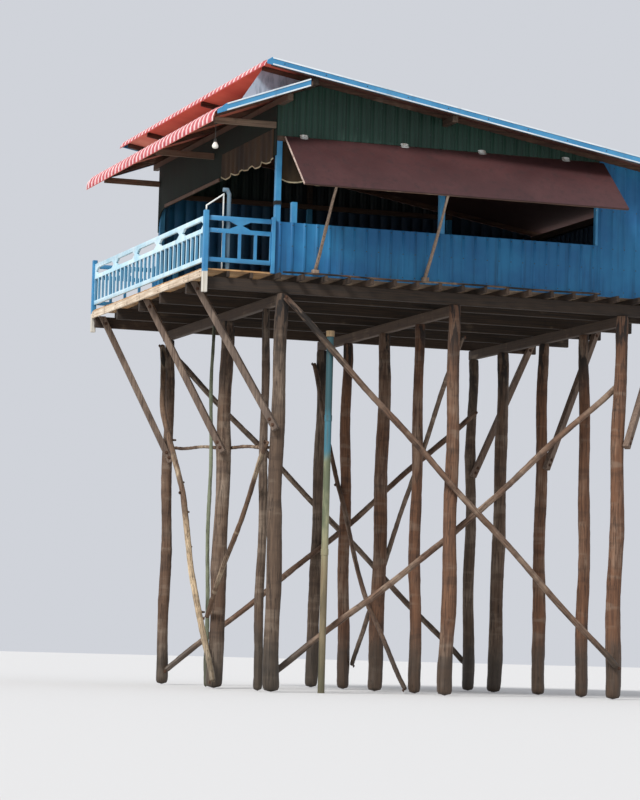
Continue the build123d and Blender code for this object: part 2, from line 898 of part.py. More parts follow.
side_rail_start = post_x + rail_post_section
side_rail_length = wall_x - end_post_section - side_rail_start
left = side_rail_length / 2 - cutout_gap / 4
right = side_rail_length / 2 + cutout_gap / 4
side_cuts = [
    [(0, 1), (left - cut_point, 1), (left, 0.5), (left - cut_point, 0), (0, 0)],
    [
        (side_rail_length, 1), (right + cut_point, 1), (right, 0.5),
        (right + cut_point, 0), (side_rail_length, 0),
    ],
]
with BuildPart() as side_railings:
    for y in (near_y, far_y + rail_thickness):
        rail_panel(
            Plane(origin=(side_rail_start, y, floor_height), x_dir=(1, 0, 0), z_dir=(0, -1, 0)),
            side_rail_length, side_cuts,
        )
save(side_railings.part, "side_railings")

# Pipes on the veranda: one bent from the near corner post down to the floor, and one
# standing with a hooked top
frame_y = near_y - rail_post_section / 2
frame_x = post_x + rail_post_section / 2
post_head = floor_height + rail_height + rail_post_rise
frame_top = floor_height + frame_pipe_top
hook_x = front_x + hook_pipe_setback
hook_y = near_y + hook_pipe_radius
hook_top = floor_height + hook_pipe_top
pipes = []
for route, radius in (
    (
        [
            (frame_x, frame_y, post_head + seat_gap),
            (frame_x, frame_y, post_head + frame_pipe_rise),
            (frame_x + frame_pipe_reach, near_y + 60, frame_top),
            (frame_x + frame_pipe_reach, near_y + 60, floor_height + seat_gap),
        ],
        frame_pipe_radius,
    ),
    (
        [
            (hook_x, hook_y, floor_height + seat_gap),
            (hook_x, hook_y, hook_top - hook_pipe_reach),
            (hook_x - hook_pipe_reach * 0.35, hook_y, hook_top - hook_pipe_radius),
            (hook_x - hook_pipe_reach, hook_y, hook_top - hook_pipe_radius),
        ],
        hook_pipe_radius,
    ),
):
    with BuildPart() as pipe:
        with BuildLine():
            Polyline(route)
        with BuildSketch(Plane(route[0])):
            RegularPolygon(radius, 8)
        sweep(transition=Transition.RIGHT)
    pipes.append(pipe.part)
with BuildPart() as veranda_pipes:
    add(pipes)
save(veranda_pipes.part, "veranda_pipes")

# Lamp on its stem under the near tie: its own form, narrow at the holder and full below
lamp_x = front_x + lamp_setback
lamp_y = near_y + tie_width / 2
stem_top = tie_top - tie_depth - seat_gap
lamp_top = stem_top - lamp_wire_drop
with BuildPart() as lamp:
    with BuildSketch(Plane((lamp_x, lamp_y, lamp_top))):
        RegularPolygon(lamp_wire_radius, 8)
    extrude(amount=lamp_wire_drop)
    rings = []
    for share, depth in lamp_profile:
        with BuildSketch(Plane((lamp_x, lamp_y, lamp_top - lamp_height * depth))) as ring:
            RegularPolygon(lamp_radius * share, 8)
        rings.append(ring.sketch)
    loft(rings, ruled=True)
save(lamp.part, "veranda_lamp")
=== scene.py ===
import math
import random

import bmesh
import bpy
from mathutils import Euler, Matrix, Vector


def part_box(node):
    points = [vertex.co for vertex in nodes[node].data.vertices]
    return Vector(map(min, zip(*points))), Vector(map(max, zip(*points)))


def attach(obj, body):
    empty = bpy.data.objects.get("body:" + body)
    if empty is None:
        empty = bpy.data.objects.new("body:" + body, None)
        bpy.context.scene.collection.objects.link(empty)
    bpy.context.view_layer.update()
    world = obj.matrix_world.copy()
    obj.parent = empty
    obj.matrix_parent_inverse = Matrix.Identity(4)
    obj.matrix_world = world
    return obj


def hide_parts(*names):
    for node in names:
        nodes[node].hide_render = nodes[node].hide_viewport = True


# A timber house on tall log stilts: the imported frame, dressed with boards, bolts, screws,
# cloth and weathered paint. Metres, +X to the rear, +Y to the far side, +Z up.

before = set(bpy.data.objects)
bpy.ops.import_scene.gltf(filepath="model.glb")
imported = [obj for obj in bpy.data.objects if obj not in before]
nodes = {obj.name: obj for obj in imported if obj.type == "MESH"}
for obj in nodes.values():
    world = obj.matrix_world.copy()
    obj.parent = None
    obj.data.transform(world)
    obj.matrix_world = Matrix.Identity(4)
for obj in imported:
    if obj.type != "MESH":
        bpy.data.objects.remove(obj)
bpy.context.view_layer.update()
rng = random.Random(41)
print("frame loaded:", len(nodes), "nodes")


# Shader maths: a wrapped socket that takes part in Python sums
class Wire:
    def __init__(self, finish, socket):
        self.finish = finish
        self.socket = socket

    def maths(self, operation, first, second=0.0):
        return self.finish.node("Math", {"operation": operation}, {0: first, 1: second})

    def __add__(self, other):
        return self.maths("ADD", self, other)

    def __sub__(self, other):
        return self.maths("SUBTRACT", self, other)

    def __rsub__(self, other):
        return self.maths("SUBTRACT", other, self)

    def __mul__(self, other):
        return self.maths("MULTIPLY", self, other)

    def __truediv__(self, other):
        return self.maths("DIVIDE", self, other)

    __radd__ = __add__
    __rmul__ = __mul__

    def fraction(self):
        return self.maths("FRACT", self)

    def size(self):
        return self.maths("ABSOLUTE", self)

    def wave(self):
        return self.maths("SINE", self)

    def most(self, other):
        return self.maths("MAXIMUM", self, other)

    # 0 below low, 1 above high, and smooth between
    def ramp(self, low, high):
        return self.finish.node(
            "MapRange", {"interpolation_type": "SMOOTHSTEP", "clamp": True},
            {"Value": self, "From Min": low, "From Max": high},
        )


# One material under construction: any node, and the few mixes that all finishes use
class Finish:
    def __init__(self, name):
        self.material = bpy.data.materials.new(name)
        self.material.use_nodes = True
        self.tree = self.material.node_tree
        self.tree.nodes.clear()
        self.place = self.node("TexCoord", {}, {}, "Object")
        self.x, self.y, self.z = (
            self.node("SeparateXYZ", {}, {"Vector": self.place}, axis) for axis in "XYZ"
        )
        self.tone = self.node("Attribute", {"attribute_name": "tone"}, {}, "Fac")

    def node(self, kind, settings, inputs, output=0):
        made = self.tree.nodes.new("ShaderNode" + kind)
        for key, value in settings.items():
            setattr(made, key, value)
        for key, value in inputs.items():
            if isinstance(value, Wire):
                self.tree.links.new(value.socket, made.inputs[key])
            else:
                made.inputs[key].default_value = value
        return Wire(self, made.outputs[output])

    # Noise stretched by a scale along each axis, from 0 to 1
    def noise(self, scales, detail=4.0, roughness=0.55, place=None):
        stretched = self.node("Mapping", {}, {"Vector": place or self.place, "Scale": scales})
        return self.node(
            "TexNoise", {}, {"Vector": stretched, "Scale": 1.0, "Detail": detail, "Roughness": roughness},
        )

    # How far a face looks along an axis: 1 with it, -1 against it
    def facing(self, axis="Z"):
        geometry = self.node("NewGeometry", {}, {}, "True Normal")
        return self.node("SeparateXYZ", {}, {"Vector": geometry}, axis)

    # A mix of two colours, each a wire or screen values
    def mix(self, share, first, second):
        pair = [tint(*colour) if isinstance(colour, tuple) else colour for colour in (first, second)]
        return self.node("Mix", {"data_type": "RGBA"}, {0: share, 6: pair[0], 7: pair[1]}, 2)

    # Lays one more colour over the finish's own
    def cover(self, share, colour):
        self.colour = self.mix(share, self.colour, colour)

    # Ends the finish: its relief is a height from 0 to 1 times a distance
    def surface(self, roughness, relief, distance, strength, metallic=0.0):
        normal = self.node("Bump", {}, {"Height": relief, "Distance": distance, "Strength": strength})
        shader = self.node(
            "BsdfPrincipled", {},
            {"Base Color": self.colour, "Roughness": roughness, "Normal": normal, "Metallic": metallic},
        )
        output = self.tree.nodes.new("ShaderNodeOutputMaterial")
        self.tree.links.new(shader.socket, output.inputs["Surface"])
        return self.material


screenGamma = 2.2


# A colour written as screen values from 0 to 255
def tint(red, green, blue):
    return tuple((value / 255) ** screenGamma for value in (red, green, blue)) + (1.0,)


grainScales = {"x": (1.4, 46.0, 46.0), "y": (46.0, 1.4, 46.0), "z": (46.0, 46.0, 1.4)}


# Weathered timber whose grain runs along one axis
def timberFinish(name, along, dark, light, worn, wornShare):
    finish = Finish(name)
    grain = finish.noise(grainScales[along], 6.0, 0.65)
    blotch = finish.noise((1.7, 1.7, 1.7), 3.0)
    stain = finish.noise((6.0, 6.0, 3.0), 4.0)
    finish.colour = finish.mix(grain.ramp(0.3, 0.7), dark, light)
    finish.cover(blotch.ramp(0.62 - wornShare * 0.4, 0.78) * grain.ramp(0.35, 0.6), worn)
    finish.cover(finish.tone.ramp(0.4, 1.0) * 0.5, finish.mix(grain, (84, 52, 36), worn))
    finish.cover(stain.ramp(0.56, 0.75) * 0.45, (38, 30, 26))
    relief = grain * 0.7 + stain * 0.5
    return finish.surface(0.72 + grain * 0.2, relief, 0.006, 0.8)


# Heights over which a log dries upwards, and over which it turns black under the floor, and
# how far the pale foot of a brace fades
logHeights = {"drying": (0.55, 1.25), "blackening": (5.0, 6.6), "paleFade": 1.2}
# A tone from 0 to 1 reddens a log, and two others mark the bent log and the grey-green pole
logTones = {"bent": -1.0, "pole": 2.0}


# Bark-free log whose grain follows the log's own coordinates, with bands at its old knots
def logFinish(name, dark, light, worn, wornShare, redShare=0.8, paleBelow=None):
    finish = Finish(name)
    own = finish.node("Attribute", {"attribute_name": "grainPlace"}, {}, "Vector")
    grain = finish.noise((30.0, 30.0, 1.8), 7.0, 0.6, own)
    cracks = finish.noise((11.0, 11.0, 0.4), 4.0, 0.55, own)
    bands = finish.noise((1.2, 1.2, 5.5), 3.0, 0.5, own)
    patch = finish.noise((7.0, 7.0, 1.6), 4.0, 0.6, own)
    blotch = finish.noise((1.3, 1.3, 0.9), 4.0)
    finish.colour = finish.mix(grain.ramp(0.2, 0.8), dark, light)
    if paleBelow:
        fade = (finish.z + (blotch - 0.5) * 1.5).ramp(paleBelow, paleBelow + logHeights["paleFade"])
        low = (1.0 - fade) * (1.0 - finish.tone.ramp(logTones["bent"] + 0.2, logTones["bent"] + 0.6))
        pale = finish.mix(grain.ramp(0.2, 0.8), (138, 114, 88), (204, 180, 146))
        finish.cover(low, pale)
        wornShare = wornShare * (0.35 + low * 0.65)
    red = finish.mix(grain.ramp(0.2, 0.8), (74, 48, 33), (126, 86, 60))
    finish.cover(finish.tone.ramp(0.2, 0.8) * redShare, red)
    wear = (blotch - (0.6 - wornShare * 0.35)) / (0.18 + wornShare * 0.35)
    finish.cover(wear.ramp(0.0, 1.0) * grain.ramp(0.3, 0.65) * 0.8, worn)
    finish.cover(bands.ramp(0.54, 0.68) * 0.4, (48, 36, 28))
    finish.cover((1.0 - bands).ramp(0.55, 0.7) * 0.25, worn)
    greyGreen = finish.mix(bands, (98, 104, 84), (136, 140, 116))
    finish.cover(finish.tone.ramp(logTones["pole"] - 0.8, logTones["pole"] - 0.4), greyGreen)
    # Painted shade down in the logs' cracks
    crack = 1.0 - (cracks - 0.5).size().ramp(0.0, 0.013)
    finish.cover(crack * 0.6, (32, 24, 19))
    wet = 1.0 - (finish.z + (blotch - 0.5) * 1.4).ramp(*logHeights["drying"])
    finish.cover(wet * 0.7, (50, 44, 34))
    high = (finish.z + (blotch - 0.5) * 1.6).ramp(*logHeights["blackening"])
    finish.cover(high * 0.3 + high * patch.ramp(0.48, 0.56) * 0.65, (20, 17, 15))
    relief = grain * 0.5 - crack * 0.7 + bands * 0.5
    return finish.surface(0.78 + grain * 0.15 - wet * 0.3, relief, 0.008, 1.0)


# Painted ribbed sheet, faded in patches, streaked by rain and rusty in spots, with painted shade in the
# valleys of its flutes. The face inside the house, which looks along an axis, takes painted shade that
# deepens further into the house.
def sheetFinish(name, paint, faded, dirtAndValleyShade, inner=None, rust=0.25, flutes=0.0):
    finish = Finish(name)
    streaks = finish.noise((9.0, 9.0, 0.5), 5.0, 0.6)
    patches = finish.noise((0.9, 0.9, 0.9), 4.0)
    speckle = finish.noise((60.0, 60.0, 60.0), 2.0)
    spots = finish.noise((7.0, 7.0, 3.0), 6.0, 0.7)
    finish.colour = finish.mix(patches.ramp(0.35, 0.7) * 0.6, paint, faded)
    finish.cover(streaks.ramp(0.48, 0.78) * 0.6, dirtAndValleyShade)
    finish.cover(spots.ramp(0.66, 0.74) * rust, (96, 70, 56))
    if inner:
        axis, sign = inner
        # Painted shade on the inner face, deeper further into the house
        inside = (finish.facing(axis) * sign).ramp(0.1, 0.5)
        indoorShadeDepth = 0.25 + finish.x.ramp(-3.0, -0.5) * 0.6
        finish.cover(inside * indoorShadeDepth, (20, 28, 36))
    gloss = 0.45 + streaks * 0.25 + speckle * 0.1
    relief = speckle + streaks * 0.8
    distance = 0.001
    if flutes:
        flute = (finish.x * (2 * math.pi / flutes)).wave()
        # Painted shade in the valleys between the flutes, in the dirt's colour
        finish.cover((0.0 - flute).ramp(0.35, 1.0) * 0.45, dirtAndValleyShade)
        relief = relief * 0.12 + flute
        distance = 0.006
    return finish.surface(gloss, relief, distance, 0.6)


# Old gloss paint over wood, chipped and grimy. It may be gone below a height, and its sides turned away
# from the sun may take a painted shade colour, as lit and shaded copies of one paint.
def paintFinish(name, paint, shade, under, chips=0.5, along="z", bareBelow=None, paintedShadeColour=None):
    finish = Finish(name)
    grain = finish.noise(grainScales[along], 4.0)
    patches = finish.noise((2.6, 2.6, 2.6), 5.0)
    flakes = finish.noise((17.0, 17.0, 17.0), 6.0, 0.7)
    finish.colour = finish.mix(patches.ramp(0.3, 0.72), paint, shade)
    chipped = (flakes + grain * 0.25).ramp(0.86 - chips * 0.12, 0.9 - chips * 0.12)
    finish.cover(chipped, under)
    if paintedShadeColour:
        # Painted shade: faces along y take the deeper colour
        side = finish.facing("Y").size().ramp(0.5, 0.8)
        finish.cover(side * (0.75 + patches * 0.2), paintedShadeColour)
    if bareBelow:
        bare = 1.0 - (finish.z + (patches - 0.5) * 0.08).ramp(bareBelow - 0.01, bareBelow + 0.01)
        wood = finish.mix(grain.ramp(0.3, 0.7), (170, 162, 148), (216, 210, 198))
        finish.cover(bare, wood)
    grime = finish.noise((5.0, 5.0, 1.0), 5.0).ramp(0.55, 0.8)
    finish.cover(grime * 0.35, (60, 62, 60))
    gloss = 0.45 + chipped * 0.35 + grime * 0.15
    relief = grain * 0.3 + flakes * 0.2 - chipped * 0.5
    return finish.surface(gloss, relief, 0.0025, 0.7)


# Faded woven cloth
def clothFinish(name, cloth, faded):
    finish = Finish(name)
    warp = ((finish.x + finish.y) * 900.0).wave()
    weft = (finish.z * 900.0).wave()
    folds = finish.noise((3.0, 3.0, 0.6), 3.0)
    finish.colour = finish.mix(folds.ramp(0.3, 0.7), cloth, faded)
    weave = warp * weft
    return finish.surface(0.85 + folds * 0.1, weave * 0.4 + folds, 0.0015, 0.6)


# Dull metal or plastic with a grimy skin
def dullFinish(name, base, grimy, metallic, roughness):
    finish = Finish(name)
    grime = finish.noise((14.0, 14.0, 4.0), 5.0)
    pits = finish.noise((90.0, 90.0, 90.0), 2.0)
    finish.colour = finish.mix(grime.ramp(0.42, 0.72), base, grimy)
    return finish.surface(roughness + grime * 0.25, pits + grime, 0.0006, 0.6, metallic)


# Ribs of the two roof sheets, spaced as in the frame, and the x past which the roof's underside takes
# painted indoor shade
roofRibs = {"pitch": 0.25, "width": 0.1, "indoors": -3.5}


def ribCentre(nodeName):
    low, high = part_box(nodeName)
    span = high.y - low.y
    count = int((span - 3 * roofRibs["width"]) / roofRibs["pitch"] + 1e-6)
    return low.y + (span - count * roofRibs["pitch"]) / 2, count + 1


# Faded roof paint: pale crests, a painted highlight of the sun on the ribs together with chalky fading,
# red valleys and a darker lap every few ribs
def roofFinish(name, nodeName, red, crestHighlightAndChalk, lapRed):
    finish = Finish(name)
    start, _ = ribCentre(nodeName)
    streaks = finish.noise((0.6, 12.0, 12.0), 5.0, 0.6)
    patches = finish.noise((1.1, 1.1, 1.1), 4.0)
    speckle = finish.noise((55.0, 55.0, 55.0), 3.0)
    offset = ((finish.y - start) / roofRibs["pitch"] + 0.5).fraction() - 0.5
    crest = 1.0 - (offset.size() * roofRibs["pitch"]).ramp(0.036, 0.056)
    worn = 0.62 + streaks.ramp(0.3, 0.7) * 0.38
    finish.colour = finish.mix(streaks.ramp(0.4, 0.75) * 0.5, red, (226, 128, 126))
    # Pale crests: a painted highlight of the sun on the ribs, and chalky fading
    finish.cover(crest * worn, crestHighlightAndChalk)
    lapOffset = ((finish.y - start) / (roofRibs["pitch"] * 4) + 0.4).fraction() - 0.5
    lap = 1.0 - (lapOffset.size() * roofRibs["pitch"] * 4).ramp(0.03, 0.05)
    finish.cover(lap * 0.6, lapRed)
    finish.cover(patches.ramp(0.55, 0.8) * 0.3, (150, 66, 66))
    below = 1.0 - finish.facing().ramp(-0.3, -0.1)
    # Underside: the sheets' red, lightened with painted light coming through and bouncing off the sheets
    soffit = finish.mix(patches.ramp(0.3, 0.7), (232, 134, 108), (216, 112, 92))
    # Painted shade on the underside further into the house
    indoors = (finish.x + (patches - 0.5) * 0.3).ramp(roofRibs["indoors"], roofRibs["indoors"] + 0.5)
    finish.cover(below, finish.mix(indoors * 0.9, soffit, (40, 26, 22)))
    return finish.surface(0.5 + streaks * 0.3 + below * 0.3, speckle + streaks, 0.001, 0.5)


# Front panel in its dark green, darkened further with painted shade from the eaves, pale below a height at
# its arched corner
def panelFinish(name, paint, faded, pale, paleHeight):
    finish = Finish(name)
    patches = finish.noise((1.6, 1.6, 1.6), 4.0)
    streaks = finish.noise((12.0, 12.0, 0.8), 5.0)
    finish.colour = finish.mix(patches.ramp(0.35, 0.7) * 0.6 + streaks.ramp(0.5, 0.8) * 0.3, paint, faded)
    low = 1.0 - (finish.z + (streaks - 0.5) * 0.1).ramp(paleHeight - 0.03, paleHeight + 0.03)
    finish.cover(low * 0.85, pale)
    return finish.surface(0.85 + streaks * 0.1, streaks, 0.001, 0.4)


# Waste pipe: mottled olive, rusty low down, teal higher up and dark under the floor
def pipeFinish(name):
    finish = Finish(name)
    blotch = finish.noise((4.0, 4.0, 1.2), 5.0)
    streaks = finish.noise((30.0, 30.0, 1.2), 5.0)
    finish.colour = finish.mix(blotch.ramp(0.38, 0.62), (92, 98, 74), (150, 148, 116))
    rusty = (1.0 - (finish.z + (streaks - 0.5) * 1.5).ramp(1.8, 3.0)) * (0.3 + blotch * 0.6)
    finish.cover(rusty, (104, 78, 56))
    upper = (finish.z + (blotch - 0.5) * 0.5).ramp(3.9, 4.15)
    finish.cover(upper, (58, 108, 122))
    top = (finish.z + (streaks - 0.5) * 0.4).ramp(4.66, 4.9)
    finish.cover(top * 0.75, (36, 62, 62))
    finish.cover(streaks.ramp(0.5, 0.72) * 0.55, (70, 66, 50))
    wet = 1.0 - (finish.z + (blotch - 0.5) * 1.0).ramp(0.4, 1.1)
    finish.cover(wet * 0.6, (58, 62, 44))
    return finish.surface(0.5 + streaks * 0.2, blotch + streaks, 0.001, 0.5)


# Veranda pipes: the bent one white, the hooked one blue-grey
def verandaPipeFinish(name, parting, hookBottom):
    finish = Finish(name)
    wear = finish.noise((14.0, 14.0, 5.0), 5.0)
    hooked = finish.x.ramp(parting, parting + 0.01).most(finish.z.ramp(hookBottom, hookBottom + 0.01))
    finish.colour = finish.mix(hooked, (224, 226, 220), (92, 116, 130))
    finish.cover(wear.ramp(0.56, 0.72) * 0.6, (120, 104, 90))
    return finish.surface(0.45 + wear * 0.2, wear, 0.001, 0.5)


# Finish tables. Timber: the way of its grain, its dark, light and worn colours, and how
# much of it is worn
timberTable = {
    "strut": ("strutTimber", "z", (64, 53, 46), (108, 92, 80), (142, 124, 108), 0.5),
    "beamX": ("timberAlongX", "x", (30, 24, 18), (60, 47, 36), (112, 96, 80), 0.05),
    "beamY": ("timberAlongY", "y", (32, 25, 19), (64, 50, 38), (118, 102, 85), 0.1),
    "board": ("floorBoards", "x", (76, 60, 46), (134, 112, 90), (180, 158, 132), 0.4),
    "frontBoard": ("frontBoards", "x", (128, 92, 58), (198, 152, 102), (226, 192, 146), 0.6),
    "fascia": ("paleFascia", "y", (170, 146, 120), (218, 198, 172), (240, 228, 208), 0.5),
    "rafter": ("rafterTimber", "x", (56, 38, 30), (98, 72, 56), (142, 124, 108), 0.15),
    "tie": ("tieTimber", "x", (74, 60, 48), (122, 104, 86), (142, 124, 108), 0.4),
    "flapEdge": ("flapEdgeTimber", "y", (150, 124, 112), (196, 174, 160), (214, 200, 186), 0.5),
    "prop": ("propPole", "z", (98, 80, 66), (146, 124, 106), (186, 168, 148), 0.5),
}
# Logs: dark, light and worn colours, the worn share, the red share, and the pale foot's height
logTable = {
    "log": ("weatheredLog", (62, 49, 39), (98, 80, 65), (150, 134, 117), 0.45),
    "braceLog": ("braceLog", (72, 58, 48), (114, 95, 80), (172, 154, 134), 0.5, 0.4),
    "paleLog": ("paleBraceLog", (72, 54, 42), (118, 94, 74), (220, 200, 168), 0.7, 0.4, 2.3),
}
# Sheets: paint, faded paint, dirt that also paints shade in the flutes' valleys, the way that the inner
# face looks (it takes painted shade), rust, and flutes' pitch
blueSheet = (16, 88, 135), (40, 124, 167), (26, 54, 78)
greenSheet = (16, 51, 39), (28, 68, 54), (12, 31, 25)
sheetTable = {
    "parapet": ("blueParapet", *blueSheet, ("Y", 1)),
    "farWall": ("blueFarWall", *blueSheet, ("Y", -1)),
    "rearWall": ("blueRearWall", *blueSheet, ("X", -1)),
    "nearGable": ("greenNearGable", *greenSheet, ("Y", 1), 0.2, 0.075),
    "farGable": ("greenFarGable", *greenSheet, ("Y", -1), 0.2, 0.075),
    "maroon": ("maroonFlapSheet", (60, 33, 33), (80, 48, 47), (40, 25, 26), None, 0.4),
}
# Paint: its colour, a second one, what shows at chips, how chipped it is, the way of the wood's grain, the
# height below which it is bare, and the painted shade colour of its sides
paintTable = {
    "blue": ("oldBluePaint", (70, 144, 186), (50, 118, 164), (190, 196, 190)),
    "railPost": ("railPostPaint", (66, 138, 180), (48, 112, 158), (190, 196, 190), 0.5, "z", 7.08),
    "sideBlue": ("sideRailPaint", (62, 132, 174), (46, 108, 152), (178, 184, 180), 0.5, "x"),
    # The front railing's near-white is a painted highlight of sunlight on its blue paint, with painted
    # shade in blue on its sides
    "sunlitPaleBlue": (
        "sunBleachedPaint", (206, 228, 236), (166, 206, 222), (222, 222, 212), 0.6, "y", None,
        (58, 130, 170),
    ),
    "barge": ("bargeboardBlue", (56, 122, 164), (72, 140, 182), (200, 206, 204), 0.4, "x"),
    "white": ("whiteTrim", (222, 228, 230), (190, 202, 208), (150, 140, 128), 0.4, "x"),
}
# Cloth: its colour and a faded one
clothTable = {
    "cloth": ("valanceCloth", (34, 26, 15), (68, 52, 31)),
    "trim": ("valanceTrim", (150, 136, 104), (198, 186, 156)),
    "rope": ("darkRope", (24, 25, 28), (46, 44, 42)),
}
# Dull pieces: their colour, their grime, how metallic and how rough they are
dullTable = {
    "metal": ("hingePlate", (214, 216, 212), (140, 124, 108), 0.4, 0.45),
    "rust": ("rustyBolt", (92, 68, 54), (56, 40, 33), 0.6, 0.6),
    "screw": ("roofScrew", (176, 160, 156), (120, 84, 70), 0.7, 0.5),
    "wallScrew": ("wallScrew", (66, 76, 80), (60, 58, 54), 0.3, 0.6),
    "zinc": ("gapSheetZinc", (166, 184, 198), (128, 146, 160), 0.2, 0.5),
    "collar": ("pipeCollar", (138, 116, 86), (92, 76, 56), 0.0, 0.6),
    "glass": ("frostedLamp", (240, 238, 226), (206, 200, 180), 0.0, 0.25),
    "holder": ("lampHolder", (60, 58, 54), (34, 32, 30), 0.0, 0.5),
}
# Roofs: the node, the valleys' red, the crests' pale colour (painted highlight and chalk) and the laps'
# red
roofTable = {
    "frontRoof": ("fadedFrontRoof", "front_roof", (172, 58, 66), (238, 212, 210), (132, 46, 56)),
    "rearRoof": ("fadedRearRoof", "rear_roof", (172, 58, 64), (238, 212, 210), (132, 46, 56)),
}
finishes = {
    # The front panel's green is darkened further with painted shade from the eaves
    "greenPanel": panelFinish(
        "greenFrontPanelPaintedShade", (8, 22, 15), (14, 34, 24), pale=(104, 134, 110), paleHeight=8.86,
    ),
    "verandaPipe": verandaPipeFinish("verandaPipe", parting=-4.39, hookBottom=8.46),
    "pipe": pipeFinish("wastePipe"),
}
for makeFinish, table in (
    (timberFinish, timberTable), (logFinish, logTable), (sheetFinish, sheetTable),
    (paintFinish, paintTable), (clothFinish, clothTable), (dullFinish, dullTable), (roofFinish, roofTable),
):
    for key, row in table.items():
        finishes[key] = makeFinish(*row)
print("finishes made:", len(finishes))


# Modelling helpers: one piece is chosen at a time, as by hand
def deselect():
    bpy.ops.object.select_all(action="DESELECT")


def applyPlace():
    bpy.ops.object.transform_apply(location=True, rotation=True, scale=True)


def setMode(mode):
    bpy.ops.object.mode_set(mode=mode)


def choose(piece):
    deselect()
    piece.select_set(True)
    bpy.context.view_layer.objects.active = piece


def applyModifiers(piece):
    choose(piece)
    for modifier in list(piece.modifiers):
        bpy.ops.object.modifier_apply(modifier=modifier.name)


def joinAll(pieces):
    deselect()
    for piece in pieces:
        piece.select_set(True)
    bpy.context.view_layer.objects.active = pieces[0]
    if len(pieces) > 1:
        bpy.ops.object.join()
    return bpy.context.object


# Names a piece, gives it its finish and smooth shading, and hands it to the frame
def settle(piece, name, finish, replaced=(), smooth=35):
    piece.name = piece.data.name = name
    choose(piece)
    applyPlace()
    if smooth:
        bpy.ops.object.shade_smooth_by_angle(angle=math.radians(smooth))
    piece.data.materials.clear()
    piece.data.materials.append(finishes[finish])
    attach(piece, "root")
    if replaced:
        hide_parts(*replaced)
    return piece


# Each loose solid of a piece gets its own tone, from 0 to 1
def toneSolids(piece):
    mesh = piece.data
    tone = mesh.attributes.new("tone", "FLOAT", "POINT")
    near = [[] for _ in mesh.vertices]
    for edge in mesh.edges:
        first, second = edge.vertices
        near[first].append(second)
        near[second].append(first)
    seen = [False] * len(near)
    for start in range(len(near)):
        if seen[start]:
            continue
        share = rng.random()
        seen[start] = True
        queue = [start]
        while queue:
            index = queue.pop()
            tone.data[index].value = share
            for other in near[index]:
                if not seen[other]:
                    seen[other] = True
                    queue.append(other)


# The edges of a piece that are sharper than an angle are cut back by a width
def softenEdges(piece, width, segments=1, angle=30):
    edge = piece.modifiers.new("edge", "BEVEL")
    edge.width = width
    edge.segments = segments
    edge.limit_method = "ANGLE"
    edge.angle_limit = math.radians(angle)
    applyModifiers(piece)


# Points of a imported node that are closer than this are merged, and so are flat neighbours
mergeDistance = 0.00002
flatAngle = math.radians(0.8)


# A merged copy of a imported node, with its flat faces made whole
def copyOfNode(nodeName, whole):
    piece = bpy.data.objects.new(nodeName + "Copy", nodes[nodeName].data.copy())
    bpy.context.scene.collection.objects.link(piece)
    choose(piece)
    setMode("EDIT")
    bpy.ops.mesh.select_all(action="SELECT")
    bpy.ops.mesh.remove_doubles(threshold=mergeDistance)
    if whole:
        bpy.ops.mesh.dissolve_limited(angle_limit=flatAngle)
    setMode("OBJECT")
    toneSolids(piece)
    return piece


# The name of the piece that dresses a node: front_roof gives frontRoof
def pieceNameOf(nodeName):
    first, *others = nodeName.split("_")
    return first + "".join(word.capitalize() for word in others)


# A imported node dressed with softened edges
def dressNode(nodeName, finish, bevel, segments=1, smooth=35, whole=True):
    piece = copyOfNode(nodeName, whole)
    if bevel:
        softenEdges(piece, bevel, segments, 40)
    return settle(piece, pieceNameOf(nodeName), finish, (nodeName,), smooth)


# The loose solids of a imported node, each as its own list of points
def solidsOfNode(nodeName):
    mesh = bmesh.new()
    mesh.from_mesh(nodes[nodeName].data)
    bmesh.ops.remove_doubles(mesh, verts=mesh.verts, dist=mergeDistance)
    solids, seen = [], set()
    for first in mesh.verts:
        if first in seen:
            continue
        group, queue = [], [first]
        seen.add(first)
        while queue:
            vert = queue.pop()
            group.append(vert.co.copy())
            for edge in vert.link_edges:
                other = edge.other_vert(vert)
                if other not in seen:
                    seen.add(other)
                    queue.append(other)
        solids.append(group)
    mesh.free()
    return solids


# How a packed log is read, and what a natural one is made with: lengths in metres, and shares
# of the log's radius
logSettings = {
    "packedSides": 12, "packedRingGap": 0.15, "aimSteps": 12,
    "sides": 16, "ringStep": 0.16, "fewestRings": 6, "slimming": 0.96, "endInset": 0.12,
    "wander": 0.015, "swell": 0.07, "waves": (1.7, 2.3, 3.1), "ridges": ((3, 0.9, 0.035), (5, -2, 0.02)),
    "knots": 6, "knotSpan": (0.04, 0.96), "knotSizes": (0.5, 1.0), "knotSwell": 0.24, "knotReach": 0.07,
    "poleRadius": 0.055, "poleRise": 0.95, "bentRings": 4, "bentRise": 0.995,
    "bark": 0.012, "barkSize": 0.11,
}


# Centres and radii of a log's rings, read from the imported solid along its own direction,
# which is found from the spread of its points
def ringsOfLog(points):
    middle = sum(points, Vector()) / len(points)
    arms = [point - middle for point in points]
    way = max(arms, key=lambda arm: arm.length).normalized()
    for _ in range(logSettings["aimSteps"]):
        way = sum((arm * arm.dot(way) for arm in arms), Vector()).normalized()
    if way.z < 0:
        way = -way
    ordered = sorted(points, key=lambda point: (point - middle).dot(way))
    rings, ring = [], [ordered[0]]
    for point in ordered[1:]:
        if (point - ring[-1]).dot(way) > logSettings["packedRingGap"]:
            rings.append(ring)
            ring = []
        ring.append(point)
    rings.append(ring)
    found = []
    for ring in rings:
        if len(ring) >= logSettings["packedSides"]:
            centre = sum(ring, Vector()) / len(ring)
            arms = [point - centre for point in ring]
            found.append((centre, max((arm - way * arm.dot(way)).length for arm in arms)))
    return found


